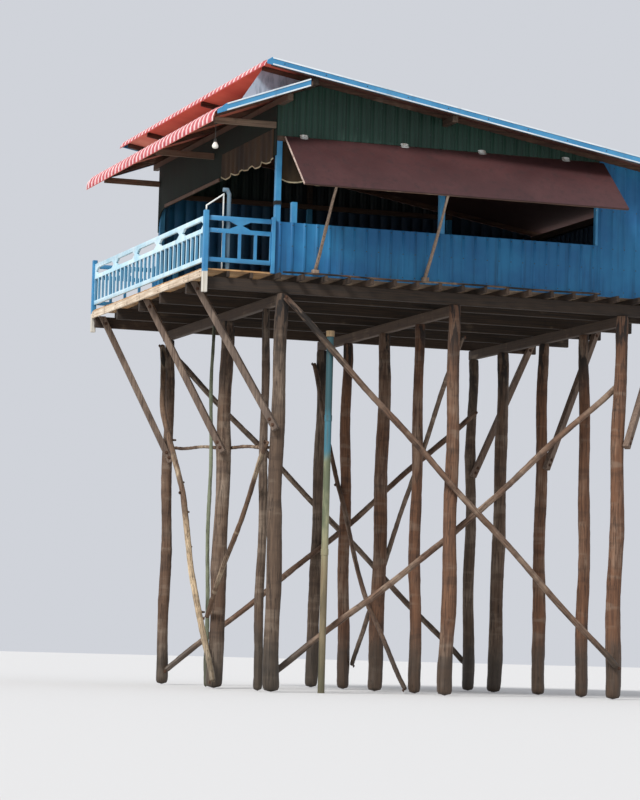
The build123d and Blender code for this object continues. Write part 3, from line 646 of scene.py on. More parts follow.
# A form grown from a disc: each ring is a centre and a radius, and the last may be inset
def growForm(rings, sides, turn, inset=0.0):
    deselect()
    bpy.ops.mesh.primitive_circle_add(
        vertices=sides, radius=rings[0][1], fill_type="NGON", location=rings[0][0], rotation=turn,
    )
    applyPlace()
    setMode("EDIT")
    for (spot, radius), (nextSpot, nextRadius) in zip(rings, rings[1:]):
        bpy.ops.mesh.extrude_region_move(TRANSFORM_OT_translate={"value": nextSpot - spot})
        size = nextRadius / radius
        bpy.ops.transform.resize(value=(size, size, size), center_override=nextSpot)
    if inset:
        bpy.ops.mesh.inset(thickness=rings[-1][1] * inset)
    bpy.ops.mesh.select_all(action="SELECT")
    bpy.ops.mesh.normals_make_consistent(inside=False)
    setMode("OBJECT")
    return bpy.context.object


# A natural log: a disc extruded ring by ring, with wander, swellings and knots
def makeLog(rings, steady):
    spots = [ring[0] for ring in rings]
    lengths = [0.0]
    for before, after in zip(spots, spots[1:]):
        lengths.append(lengths[-1] + (after - before).length)
    total = lengths[-1]
    count = max(logSettings["fewestRings"], round(total / logSettings["ringStep"]))
    way = (spots[-1] - spots[0]).normalized()
    turn = way.to_track_quat("Z", "Y")
    phase = rng.uniform(0, 10)
    knots = [
        (rng.uniform(*logSettings["knotSpan"]) * total, rng.uniform(*logSettings["knotSizes"]))
        for _ in range(logSettings["knots"])
    ]

    def spotAt(along):
        index = max(i for i, length in enumerate(lengths) if length <= along + 1e-6)
        index = min(index, len(spots) - 2)
        share = (along - lengths[index]) / (lengths[index + 1] - lengths[index])
        radius = rings[index][1] + (rings[index + 1][1] - rings[index][1]) * share
        return spots[index].lerp(spots[index + 1], share), radius

    waveX, waveY, waveSwell = logSettings["waves"]
    placed = []
    for step in range(count + 1):
        along = total * step / count
        spot, radius = spotAt(along)
        ease = min(1.0, step / 2, (count - step) / 2)
        bend = Vector((math.sin(along * waveX + phase), math.cos(along * waveY + phase * 1.7), 0))
        spot = spot + turn @ bend * logSettings["wander"] * steady * ease
        swell = 1 + logSettings["swell"] * math.sin(along * waveSwell + phase * 2.1) * 0.5
        for place, size in knots:
            nearness = math.exp(-((along - place) / logSettings["knotReach"]) ** 2)
            swell += logSettings["knotSwell"] * size * nearness * 0.5
        placed.append((spot, radius * logSettings["slimming"] * swell))
    piece = growForm(placed, logSettings["sides"], turn.to_euler(), logSettings["endInset"])
    # Ridges along the log, and the log's own coordinates for its grain
    mesh = piece.data
    mesh.attributes.new("grainPlace", "FLOAT_VECTOR", "POINT")
    mesh.attributes.new("tone", "FLOAT", "POINT")
    grain, tone = mesh.attributes["grainPlace"], mesh.attributes["tone"]
    share = rng.random()
    if placed[0][1] < logSettings["poleRadius"] and abs(way.z) > logSettings["poleRise"]:
        share = logTones["pole"]
    if len(rings) > logSettings["bentRings"] and abs(way.z) < logSettings["bentRise"]:
        share = logTones["bent"]
    base, inverse = placed[0][0], turn.inverted()
    shift = Vector((rng.uniform(0, 9), rng.uniform(0, 9), rng.uniform(0, 9)))
    for vert in mesh.vertices:
        local = inverse @ (vert.co - base)
        grain.data[vert.index].vector = local + shift
        tone.data[vert.index].value = share
        along = min(max(local.z, 0), total)
        spot = placed[min(count, round(along / total * count))][0]
        arm = vert.co - spot
        arm -= way * arm.dot(way)
        if arm.length > 0.01:
            around = inverse @ arm
            angle = math.atan2(around.y, around.x)
            ridge = 0.0
            for lobes, twist, height in logSettings["ridges"]:
                ridge += math.sin(angle * lobes + along * twist + phase) * height
            vert.co += arm * ridge
        vert.co.z = max(vert.co.z, 0.0)
    return piece


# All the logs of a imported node, remade as natural logs
def dressLogs(nodeName, finish, steady=1.0):
    piece = joinAll([makeLog(ringsOfLog(solid), steady) for solid in solidsOfNode(nodeName)])
    finer = piece.modifiers.new("finer", "SUBSURF")
    finer.levels = finer.render_levels = 1
    rough = piece.modifiers.new("rough", "DISPLACE")
    rough.texture = barkTexture
    rough.texture_coords = "LOCAL"
    rough.strength = logSettings["bark"]
    rough.mid_level = 0.5
    applyModifiers(piece)
    for vert in piece.data.vertices:
        vert.co.z = max(vert.co.z, 0.0)
    return settle(piece, pieceNameOf(nodeName), finish, (nodeName,), 60)


barkTexture = bpy.data.textures.new("barkSwell", "CLOUDS")
barkTexture.noise_scale = logSettings["barkSize"]
barkTexture.noise_depth = 2

for nodeName, finish in (
    ("front_stilts", "log"), ("middle_stilts", "log"), ("rear_stilts", "log"),
    ("near_side_braces", "braceLog"), ("far_side_braces", "braceLog"),
    ("front_line_braces", "paleLog"), ("middle_line_braces", "braceLog"),
):
    dressLogs(nodeName, finish)
dressLogs("ledge_pole", "paleLog", steady=0.4)
print("logs made")

# Sawn members and sheets, in groups, each with its finish and the width of its edges
for slot, members in (
    ("sawn_timber", (
        ("floor_girders", "beamY", 0.009), ("floor_beams", "beamX", 0.008),
        ("floor_joists", "beamY", 0.005), ("front_fascia", "fascia", 0.004),
        ("front_struts", "strut", 0.008), ("rear_struts", "strut", 0.008),
        ("roof_beams", "beamY", 0.005), ("gable_studs", "beamX", 0.004),
        ("front_rafters", "rafter", 0.004), ("rear_rafters", "rafter", 0.004),
        ("veranda_ties", "tie", 0.004),
    )),
    ("blue_paint", (
        ("wall_posts", "blue", 0.006), ("side_head_beams", "beamX", 0.004),
        ("rail_posts", "railPost", 0.007), ("bargeboards", "barge", 0.005),
    )),
    ("blue_sheet", (
        ("near_parapet", "parapet", 0.002), ("far_side_wall", "farWall", 0.0),
        ("near_rear_side_wall", "parapet", 0.0), ("far_rear_side_wall", "farWall", 0.0),
        ("rear_wall", "rearWall", 0.0),
    )),
    ("green_sheet", (
        ("near_gable", "nearGable", 0.0), ("far_gable", "farGable", 0.0),
        ("front_wall_panel", "greenPanel", 0.003),
    )),
    ("maroon_board", (("near_flap", "maroon", 0.004),)),
    ("hinge_metal", (("roof_gap_sheet", "zinc", 0.0), ("veranda_pipes", "verandaPipe", 0.003))),
):
    for nodeName, finish, bevel in members:
        dressNode(nodeName, finish, bevel)
for nodeName, finish in (("front_railing", "sunlitPaleBlue"), ("side_railings", "sideBlue")):
    dressNode(nodeName, finish, bevel=0.004, whole=False)
for nodeName in ("front_roof", "rear_roof"):
    dressNode(nodeName, pieceNameOf(nodeName), bevel=0.014, segments=2, smooth=40)
print("packed nodes dressed")

# Places of the house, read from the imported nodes
roomLow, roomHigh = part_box("room_floor")
verandaLow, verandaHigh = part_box("veranda_floor")
flapLow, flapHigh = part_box("near_flap")
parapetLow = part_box("near_parapet")[0]
boardLow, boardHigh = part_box("bargeboards")
house = {
    "floor": roomHigh.z,
    "wallX": roomLow.x,
    "nearY": roomLow.y,
    "farY": roomHigh.y,
    "headZ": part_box("near_gable")[0].z,
}
# Each roof's edge in x, its height over the floor there, and its slope
roofEdges = {"front": (-4.845, 2.62, 0.37), "rear": (-3.955, 3.59, -0.169)}


def roofTop(roof, x):
    edgeX, height, slope = roofEdges[roof]
    return house["floor"] + height + (x - edgeX) * slope


# Squared pieces in one mesh: each is a centre, a size and a turn
def makeBoxes(cuboids, bevel):
    deselect()
    for index, (centre, size, turn) in enumerate(cuboids):
        if index == 1:
            setMode("EDIT")
        if index:
            bpy.ops.mesh.select_all(action="DESELECT")
        bpy.ops.mesh.primitive_cube_add(size=1, location=centre, rotation=turn, scale=size)
        if index == 0:
            applyPlace()
    if len(cuboids) > 1:
        setMode("OBJECT")
    piece = bpy.context.object
    toneSolids(piece)
    softenEdges(piece, bevel)
    return piece


# A turned form: (height, radius) steps along an axis
def makeTurned(centre, steps, sides, turn=(0, 0, 0)):
    axis = Euler(turn).to_matrix() @ Vector((0, 0, 1))
    return growForm([(Vector(centre) + axis * height, radius) for height, radius in steps], sides, turn)


# Copies of one small template at many places, joined in one mesh
def scatter(template, places):
    mesh = bmesh.new()
    for spot, direction, spin in places:
        start = len(mesh.verts)
        mesh.from_mesh(template.data)
        mesh.verts.ensure_lookup_table()
        turn = direction.to_track_quat("Z", "Y").to_matrix().to_4x4()
        turn = Matrix.Translation(spot) @ turn @ Matrix.Rotation(spin, 4, "Z")
        bmesh.ops.transform(mesh, matrix=turn, verts=mesh.verts[start:])
    piece = bpy.data.objects.new("scattered", bpy.data.meshes.new("scattered"))
    mesh.to_mesh(piece.data)
    mesh.free()
    bpy.context.scene.collection.objects.link(piece)
    return piece


# Bolts and screws: a washer with a six-sided head on it. Their edges are shares of the whole.
fastenerForm = {"seat": -0.002, "rim": 0.94, "shoulder": 0.82, "crown": 0.72}
boltSettings = {"washer": 0.034, "head": 0.019, "washerHeight": 0.005, "headHeight": 0.016, "sides": 10}
screwSettings = {"washer": 0.011, "head": 0.006, "washerHeight": 0.002, "headHeight": 0.006, "sides": 8}


def makeFastener(settings):
    seat, rim, shoulder, crown = fastenerForm.values()
    wide, narrow, low = settings["washer"], settings["head"], settings["washerHeight"]
    top = low + settings["headHeight"]
    washer = makeTurned((0, 0, 0), ((seat, wide), (low, wide * rim)), settings["sides"])
    head = makeTurned((0, 0, 0), ((0.0, narrow), (top * shoulder, narrow), (top, narrow * crown)), 6)
    return joinAll([washer, head])


bolt = makeFastener(boltSettings)
screw = makeFastener(screwSettings)

# Floor boards along the house, each with its own height, width, ends and tone
boardSettings = {
    "width": 0.128, "gap": 0.004, "narrower": 0.003, "sink": 0.0025, "endGap": 0.003,
    "raggedEnd": 0.016, "roomJoints": (0.36, 0.47, 0.58, 0.68), "bevel": 0.003,
}


def floorBoards(startX, endX, ragged, joints):
    across = house["farY"] - house["nearY"]
    count = round(across / boardSettings["width"])
    step = across / count
    cuboids = []
    for index in range(count):
        y = house["nearY"] + (index + 0.5) * step
        cuts = [startX + rng.uniform(0, ragged), endX]
        if joints:
            cuts.insert(1, startX + (endX - startX) * rng.choice(joints))
        for left, right in zip(cuts, cuts[1:]):
            thick = roomHigh.z - roomLow.z - rng.uniform(0, boardSettings["sink"])
            width = step - boardSettings["gap"] - rng.uniform(0, boardSettings["narrower"])
            centre = ((left + right) / 2, y, roomLow.z + thick / 2)
            cuboids.append((centre, (right - left - boardSettings["endGap"], width, thick), (0, 0, 0)))
    return makeBoxes(cuboids, boardSettings["bevel"])


verandaBoards = floorBoards(verandaLow.x, verandaHigh.x, boardSettings["raggedEnd"], ())
settle(verandaBoards, "verandaBoards", "frontBoard", ("veranda_floor",), 0)
roomBoards = floorBoards(roomLow.x, roomHigh.x, 0.0, boardSettings["roomJoints"])
settle(roomBoards, "roomBoards", "board", ("room_floor",), 0)
print("floor boards laid")


# The mean of the points that pass a test
def middleOf(points, test):
    chosen = [point for point in points if test(point)]
    return sum(chosen, Vector()) / len(chosen)


# Bolts where braces and struts meet the logs
boltPlacing = {
    "depth": 0.93, "footReach": 0.12, "headHeight": 6.6, "alongFoot": (0.09, 0.2), "underHead": 0.16,
    "aside": 0.0575,
}
boltPlaces = []
for nodeName, axis in (
    ("near_side_braces", 1), ("far_side_braces", 1), ("front_line_braces", 0), ("middle_line_braces", 0),
):
    low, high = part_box(nodeName)
    middle = (low + high) / 2
    for solid in solidsOfNode(nodeName):
        rings = ringsOfLog(solid)
        for centre, radius in (rings[0], rings[len(rings) // 2], rings[-1]):
            outward = Vector((0, 0, 0))
            outward[axis] = -1 if centre[axis] < middle[axis] else 1
            spot = centre + outward * radius * boltPlacing["depth"]
            boltPlaces.append((spot, outward, rng.uniform(0, 1)))
for nodeName in ("front_struts", "rear_struts"):
    for solid in solidsOfNode(nodeName):
        footTop = min(point.z for point in solid) + boltPlacing["footReach"]
        foot = middleOf(solid, lambda point: point.z < footTop)
        head = middleOf(solid, lambda point: point.z > boltPlacing["headHeight"])
        run = (head - foot).normalized()
        across = run.cross(Vector((0, 0, 1))).normalized()
        side = across if across.y < 0 else -across
        spots = [foot + run * along for along in boltPlacing["alongFoot"]]
        for spot in (*spots, head - run * boltPlacing["underHead"]):
            boltPlaces.append((spot + side * boltPlacing["aside"], side, rng.uniform(0, 1)))
settle(scatter(bolt, boltPlaces), "braceBolts", "rust", (), 0)

# Stubs of cut branches on the bent log: each is at a ring, a share of the way to it from the
# ring before, and an angle round the log
stubSettings = {
    "places": (
        (1, 0.5, 200), (2, 0.4, 160), (3, 0.3, 215), (3, 0.75, 150),
        (4, 0.35, 190), (4, 0.8, 235), (5, 0.4, 170),
    ),
    "seat": 0.7, "lengths": (0.035, 0.07), "sides": 10,
    "foot": ((-0.01, 0.03), (0.015, 0.022)), "tip": ((0.0, 0.017), (0.004, 0.012)),
}
bentRings = max((ringsOfLog(solid) for solid in solidsOfNode("front_line_braces")), key=len)
stubs = []
for index, share, angle in stubSettings["places"]:
    (start, radius), (end, _) = bentRings[index - 1], bentRings[index]
    turn = (math.radians(90), 0, math.radians(angle - 90))
    spot = start.lerp(end, share) + Euler(turn).to_matrix() @ Vector((0, 0, radius * stubSettings["seat"]))
    length = rng.uniform(*stubSettings["lengths"])
    steps = [*stubSettings["foot"], *((length + height, size) for height, size in stubSettings["tip"])]
    stubs.append(makeTurned(spot, steps, stubSettings["sides"], turn))
settle(joinAll(stubs), "branchStubs", "paleLog", (), 40)

# Nail heads along the fascia and the bargeboards
nailSettings = {
    "fasciaRows": (0.115, 1.045, 2.695, 4.095, 5.645, 7.285), "fasciaHeights": (0.03, 0.09),
    "play": 0.02, "boardStart": -3.6, "boardStep": 0.75, "boardCount": 12, "boardDrop": 0.035,
}
nails = []
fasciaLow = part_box("front_fascia")[0]
for row in nailSettings["fasciaRows"]:
    for height in nailSettings["fasciaHeights"]:
        y = house["nearY"] + row + rng.uniform(-nailSettings["play"], nailSettings["play"])
        spot = Vector((fasciaLow.x, y, fasciaLow.z + height))
        nails.append((spot, Vector((-1, 0, 0)), rng.uniform(0, 1)))
for y, direction in ((boardLow.y, -1), (boardHigh.y, 1)):
    for step in range(nailSettings["boardCount"]):
        x = nailSettings["boardStart"] + step * nailSettings["boardStep"]
        spot = Vector((x, y, roofTop("rear", x) - nailSettings["boardDrop"]))
        nails.append((spot, Vector((0, direction, 0)), rng.uniform(0, 1)))
settle(scatter(screw, nails), "nailHeads", "rust", (), 0)

# Screws through the sheets' crests: the roofs' rows in x, the walls' heights over the floor,
# where the rays start outside the house, and how squarely a crest has to meet its ray
screwPlacing = {
    "front_roof": (-4.62, -4.2, -3.72, -3.3),
    "rear_roof": (-3.78, -3.0, -2.1, -1.2, -0.43, 0.6, 1.7, 2.8, 3.8, 4.4, 4.76),
    "sideWalls": (0.06, 0.47, 0.83, 1.5, 2.28, 2.6, 3.0, 3.3),
    "rearWall": (0.06, 0.8, 1.6, 2.2),
    "above": 14.0,
    "outside": 9.0,
    "squareness": 0.8,
}
wallRibs = {"pitch": 0.225, "foot": 0.06}


# Places on the dressed sheet itself, found by rays along a direction
def screwsOn(pieceName, starts, direction):
    piece, way = bpy.data.objects[pieceName], Vector(direction)
    found = []
    for start in starts:
        hit, spot, normal, _ = piece.ray_cast(Vector(start), way)
        if hit and normal.dot(way) < -screwPlacing["squareness"]:
            found.append((spot, normal, rng.uniform(0, 1)))
    return found


def wallCrests(low, high):
    count = int((high - low - wallRibs["foot"]) / wallRibs["pitch"] + 1e-6)
    first = low + (high - low - count * wallRibs["pitch"] - wallRibs["foot"]) / 2 + wallRibs["foot"] / 2
    return [first + index * wallRibs["pitch"] for index in range(count + 1)]


bpy.context.view_layer.update()
roofScrews, wallScrews = [], []
for nodeName in ("front_roof", "rear_roof"):
    start, ribCount = ribCentre(nodeName)
    for rowIndex, x in enumerate(screwPlacing[nodeName]):
        crests = [start + index * roofRibs["pitch"] for index in range(0, ribCount, 1 + rowIndex % 2)]
        starts = [(x, y, screwPlacing["above"]) for y in crests]
        roofScrews += screwsOn(pieceNameOf(nodeName), starts, (0, 0, -1))
for nodeName, side in (
    ("near_parapet", -1), ("far_side_wall", 1), ("near_rear_side_wall", -1), ("far_rear_side_wall", 1),
    ("near_gable", -1), ("far_gable", 1),
):
    low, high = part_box(nodeName)
    for height in screwPlacing["sideWalls"]:
        z = house["floor"] + height
        if low.z < z < high.z:
            starts = [(x, side * screwPlacing["outside"], z) for x in wallCrests(low.x, high.x)]
            wallScrews += screwsOn(pieceNameOf(nodeName), starts, (0, -side, 0))
low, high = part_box("rear_wall")
for height in screwPlacing["rearWall"]:
    starts = [(screwPlacing["outside"], y, house["floor"] + height) for y in wallCrests(low.y, high.y)]
    wallScrews += screwsOn("rearWall", starts, (-1, 0, 0))
settle(scatter(screw, roofScrews), "roofScrews", "screw", (), 0)
settle(scatter(screw, wallScrews), "wallScrews", "wallScrew", (), 0)
print("fasteners set:", len(boltPlaces), len(roofScrews), len(wallScrews))

# White beads along the bargeboards' edges: each roof's ends in x, and its far side
beadSettings = {
    "ends": {"front": (-4.6, -3.12, house["farY"] + 0.6), "rear": (-3.81, 4.835, boardHigh.y)},
    "height": 0.024, "depth": 0.009, "rise": 0.03, "boardDepth": 0.13, "bevel": 0.003,
}
beads = []
beadHigh, beadDeep = beadSettings["height"], beadSettings["depth"]
for roof, (startX, endX, farEdge) in beadSettings["ends"].items():
    length = math.hypot(endX - startX, roofTop(roof, endX) - roofTop(roof, startX))
    middleX = (startX + endX) / 2
    turn = (0, -math.atan(roofEdges[roof][2]), 0)
    for y in (boardLow.y - beadDeep / 2, farEdge + beadDeep / 2):
        for drop in (beadHigh / 2, beadSettings["boardDepth"] - beadHigh / 2):
            centre = (middleX, y, roofTop(roof, middleX) + beadSettings["rise"] - drop)
            beads.append((centre, (length, beadDeep, beadHigh), turn))
settle(makeBoxes(beads, beadSettings["bevel"]), "bargeboardBeads", "white", (), 0)

# Battens under the flap, rails along its two long edges, and a pale batten on its front end
flapSettings = {
    "length": 1.48, "drop": 0.965, "hingeAhead": 0.0003, "hingeBelow": 0.028, "bevel": 0.003,
    "batten": 0.032, "places": (0.02, 1.5, 2.45, 3.6, 4.8, 5.93), "shorter": 0.09, "lower": 0.02,
    "battenSeat": 0.002, "rail": (0.026, 0.02), "railShorter": 0.01, "railSeat": 0.009,
    "fromEdge": 0.016, "fromHinge": 0.06, "end": (0.012, 0.034), "endRise": 0.006, "endBevel": 0.002,
}
flapLong = flapSettings["length"]
flapTilt = math.asin(flapSettings["drop"] / flapLong)
flapTurn = (flapTilt, 0, 0)
flapDown = Vector((0, -math.cos(flapTilt), -math.sin(flapTilt)))
flapUp = Vector((0, -math.sin(flapTilt), math.cos(flapTilt)))
hingeLine = Vector((
    0, parapetLow.y - flapSettings["hingeAhead"], house["headZ"] - flapSettings["hingeBelow"],
))


# A place at the flap: its x, how far down the slope it is and how far above the sheet
def flapSpot(x, down, above):
    spot = hingeLine + flapDown * down + flapUp * above
    spot.x = x
    return spot


battens = []
wide = flapSettings["batten"]
battenSize = (wide, flapLong - flapSettings["shorter"], wide)
battenDown = flapLong / 2 + flapSettings["lower"]
for place in flapSettings["places"]:
    centre = flapSpot(flapLow.x + place + wide / 2, battenDown, flapSettings["battenSeat"] - wide / 2)
    battens.append((centre, battenSize, flapTurn))
railSize = (flapHigh.x - flapLow.x - flapSettings["railShorter"], *flapSettings["rail"])
for along in (flapLong - flapSettings["fromEdge"], flapSettings["fromHinge"]):
    centre = flapSpot((flapLow.x + flapHigh.x) / 2, along, -flapSettings["railSeat"])
    battens.append((centre, railSize, flapTurn))
settle(makeBoxes(battens, flapSettings["bevel"]), "flapBattens", "rafter", (), 0)
endThick, endHigh = flapSettings["end"]
centre = flapSpot(flapLow.x - endThick / 2, flapLong / 2, flapSettings["endRise"])
endBatten = makeBoxes([(centre, (endThick, flapLong, endHigh), flapTurn)], flapSettings["endBevel"])
settle(endBatten, "flapEdgeBatten", "flapEdge", (), 0)


# The lowest and the highest corner of a list of points
def boxOf(points):
    return [Vector(edge(point[axis] for point in points) for axis in range(3)) for edge in (min, max)]


# Round props on their ledges: each leans out to the flap's underside
propSettings = {
    "radius": 0.027, "short": 0.02, "rings": ((0, 1.1), (0.5, 0.975), (1, 0.85)), "steady": 0.5,
    "ledgeHeight": 0.3, "ledgeBevel": 0.006, "footReach": 0.01, "topReach": 0.12,
}
propPieces, ledges = [], []
for solid in solidsOfNode("flap_props"):
    low, high = boxOf(solid)
    if high.z - low.z < propSettings["ledgeHeight"]:
        ledges.append(((low + high) / 2, high - low, (0, 0, 0)))
        continue
    foot = middleOf(solid, lambda point: point.z < low.z + propSettings["footReach"])
    top = middleOf(solid, lambda point: point.z > high.z - propSettings["topReach"])
    top = foot + (top - foot) * (1 - propSettings["short"])
    radius = propSettings["radius"]
    rings = [(foot.lerp(top, share), radius * size) for share, size in propSettings["rings"]]
    propPieces.append(makeLog(rings, propSettings["steady"]))
propPieces.append(makeBoxes(ledges, propSettings["ledgeBevel"]))
settle(joinAll(propPieces), "flapProps", "prop", ("flap_props",), 50)

# Hinges: an oval plate on the gable and one on the flap, each with two screws, and a knuckle
# between them
hingeSettings = {
    "plate": (0.15, 0.042, 0.005), "sides": 24, "bevel": 0.0015, "upright": (-0.0045, 0.024),
    "sloped": (0.032, 0.0265), "screwReach": 0.052, "screwSides": 8,
    "screw": ((-0.001, 0.006), (0.0015, 0.006), (0.003, 0.003)), "knuckleRise": 0.03, "knuckleSides": 12,
    "knuckle": (
        (-0.075, 0.004), (-0.069, 0.004), (-0.069, 0.009), (0.069, 0.009), (0.069, 0.004), (0.075, 0.004),
    ),
}
hingePieces = []
for solid in solidsOfNode("flap_hinges"):
    low, high = boxOf(solid)
    x = (low.x + high.x) / 2
    ahead, rise = hingeSettings["upright"]
    upright = Vector((x, parapetLow.y + ahead, house["headZ"] + rise))
    for centre, tilt in ((upright, math.pi / 2), (flapSpot(x, *hingeSettings["sloped"]), flapTilt)):
        turn = (tilt, 0, 0)
        deselect()
        bpy.ops.mesh.primitive_cylinder_add(
            vertices=hingeSettings["sides"], radius=0.5, depth=1,
            location=centre, rotation=turn, scale=hingeSettings["plate"],
        )
        plate = bpy.context.object
        applyPlace()
        softenEdges(plate, hingeSettings["bevel"])
        hingePieces.append(plate)
        normal = Euler(turn).to_matrix() @ Vector((0, 0, 1))
        for reach in (-hingeSettings["screwReach"], hingeSettings["screwReach"]):
            spot = centre + Vector((reach, 0, 0)) + normal * hingeSettings["plate"][2] / 2
            hingePieces.append(makeTurned(spot, hingeSettings["screw"], hingeSettings["screwSides"], turn))
    knuckle = flapSpot(x, 0, hingeSettings["knuckleRise"])
    sideways = (0, math.pi / 2, 0)
    hingePieces.append(
        makeTurned(knuckle, hingeSettings["knuckle"], hingeSettings["knuckleSides"], sideways)
    )
settle(joinAll(hingePieces), "flapHinges", "metal", ("flap_hinges",), 30)
print("flap, props and hinges made")

# Cloth valances: a hung sheet with folds and a scalloped lower edge, and a pale trim on it
valanceSettings = {
    "columns": 120, "rows": 14, "thick": 0.004, "fold": 0.014, "inset": 0.01, "topDrop": 0.02,
    "trim": 0.022, "trimDrop": 0.004, "trimThick": 0.009,
    "foldWave": 21, "foldDrift": (9, 1.4), "foldGrowth": (0.25, 0.6), "clearance": 0.004,
    "sagPlay": 0.25, "sagWave": 2.1,
}


# A thin cloth: shares along it and down it give each of its places
def makeCloth(rows, thickness, place):
    deselect()
    bpy.ops.mesh.primitive_grid_add(x_subdivisions=valanceSettings["columns"], y_subdivisions=rows, size=1)
    cloth = bpy.context.object
    for vert in cloth.data.vertices:
        vert.co = place(vert.co.x + 0.5, 0.5 - vert.co.y)
    thick = cloth.modifiers.new("thick", "SOLIDIFY")
    thick.thickness = thickness
    thick.offset = 0
    applyModifiers(cloth)
    return cloth


# A valance from one upper corner to the other: its lower edge may rise along it
def makeValance(name, start, end, low, rise, scallops, sag, outward):
    length = (end - start).length
    phase = rng.uniform(0, 6)
    driftWave, drift = valanceSettings["foldDrift"]
    least, growth = valanceSettings["foldGrowth"]
    play = valanceSettings["sagPlay"]

    def lowEdge(share):
        index, own = divmod(share * scallops, 1)
        depth = 1 - play + play * math.sin(index * valanceSettings["sagWave"])
        return low + rise * share - sag * math.sin(math.pi * own) * depth

    def place(share, down):
        turn = share * length * valanceSettings["foldWave"] + phase + math.sin(share * driftWave) * drift
        fold = math.sin(turn) * valanceSettings["fold"] * (least + growth * down)
        spot = start.lerp(end, share) + outward * (fold + valanceSettings["clearance"])
        spot.z = start.z + (lowEdge(share) - start.z) * down
        return spot

    # The trim is a narrow band folded over the lower edge
    def trimPlace(share, down):
        lift = Vector((0, 0, (1 - down) * valanceSettings["trim"] - valanceSettings["trimDrop"]))
        return place(share, 1.0) + lift

    cloth = makeCloth(valanceSettings["rows"], valanceSettings["thick"], place)
    trim = makeCloth(2, valanceSettings["trimThick"], trimPlace)
    settle(trim, name + "Trim", "trim", (), 60)
    settle(cloth, name, "cloth", ("valances",), 60)
    depth = sum(start.z - lowEdge(i / 20) for i in range(21)) / 21
    return cloth, length, depth


valanceBoxes = sorted(map(boxOf, solidsOfNode("valances")), key=lambda box: box[0].x)
(frontLow, frontHigh), (sideLow, sideHigh) = valanceBoxes
inset, topDrop = valanceSettings["inset"], valanceSettings["topDrop"]
frontX, top = (frontLow.x + frontHigh.x) / 2, frontHigh.z - topDrop
cloth, frontLength, frontDepth = makeValance(
    "frontValance", Vector((frontX, frontLow.y + inset, top)), Vector((frontX, frontHigh.y - inset, top)),
    low=frontLow.z + 0.02, rise=0.1, scallops=5, sag=0.075, outward=Vector((-1, 0, 0)),
)
frontDepth + 0.02
sideY, top = (sideLow.y + sideHigh.y) / 2, sideHigh.z - topDrop
cloth, sideLength, sideDepth = makeValance(
    "sideValance", Vector((sideLow.x + inset, sideY, top)), Vector((sideHigh.x - inset, sideY, top)),
    low=sideLow.z + 0.07, rise=0.0, scallops=6, sag=0.06, outward=Vector((0, 1, 0)),
)
sideDepth + 0.02
print("valances hung:", *(round(size, 2) for size in (frontLength, frontDepth, sideLength, sideDepth)))


# A node's upright axis, and the heights of its ends
def uprightOf(nodeName):
    low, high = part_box(nodeName)
    return ((low.x + high.x) / 2, (low.y + high.y) / 2, 0), low.z, high.z


# Waste pipe with couplings, and a collar with a rolled mouth below the pipe's top
pipeSettings = {
    "radius": 0.06, "couplingRadius": 0.067, "couplings": (2.35, 4.65), "couplingHeight": 0.11,
    "slant": 0.004,
    "collar": (
        (-0.1, 0.06), (-0.098, 0.073), (-0.02, 0.073), (-0.016, 0.076),
        (-0.002, 0.076), (0.0, 0.072), (0.0, 0.056), (-0.09, 0.054),
    ),
    "sides": 28,
}
pipeAt, _, pipeTop = uprightOf("waste_pipe")
narrow, wide, slant = pipeSettings["radius"], pipeSettings["couplingRadius"], pipeSettings["slant"]
steps = [(0.0, narrow)]
for height in pipeSettings["couplings"]:
    top = height + pipeSettings["couplingHeight"]
    steps += [(height, narrow), (height + slant, wide), (top - slant, wide), (top, narrow)]
collar = [(pipeTop + height, radius) for height, radius in pipeSettings["collar"]]
steps.append(collar[0])
for form, name, finish in ((steps, "wastePipe", "pipe"), (collar, "wastePipeCollar", "collar")):
    piece = makeTurned(pipeAt, form, pipeSettings["sides"])
    settle(piece, name, finish, ("waste_pipe",), 40)

# Lamp: a frosted bulb in a dark holder on its stem
lampSettings = {
    "bulbHeight": 0.15, "bulbRadius": 0.055,
    "bulb": (
        (0.0, 0.12), (0.015, 0.42), (0.06, 0.7), (0.14, 0.9), (0.24, 1.0), (0.36, 0.97), (0.5, 0.82),
        (0.64, 0.62), (0.74, 0.48),
    ),
    "holder": ((-0.042, 0.027), (-0.03, 0.03), (-0.004, 0.029), (0.0, 0.022), (0.02, 0.02), (0.03, 0.008)),
    "stemTop": ((-0.012, 0.005), (-0.01, 0.02), (0.0, 0.022)), "bulbSides": 24, "holderSides": 20,
}
lampAt, lampLow, lampTop = uprightOf("veranda_lamp")
bulbHigh, bulbWide = lampSettings["bulbHeight"], lampSettings["bulbRadius"]
bulb = [(lampLow + bulbHigh * share, bulbWide * width) for share, width in lampSettings["bulb"]]
holder = [(lampLow + bulbHigh + height, radius) for height, radius in lampSettings["holder"]]
holder += [(lampTop + height, radius) for height, radius in lampSettings["stemTop"]]
bulb = makeTurned(lampAt, bulb, lampSettings["bulbSides"])
settle(bulb, "lampBulb", "glass", ("veranda_lamp",), 60)
holder = makeTurned(lampAt, holder, lampSettings["holderSides"])
settle(holder, "lampHolder", "holder", ("veranda_lamp",), 40)

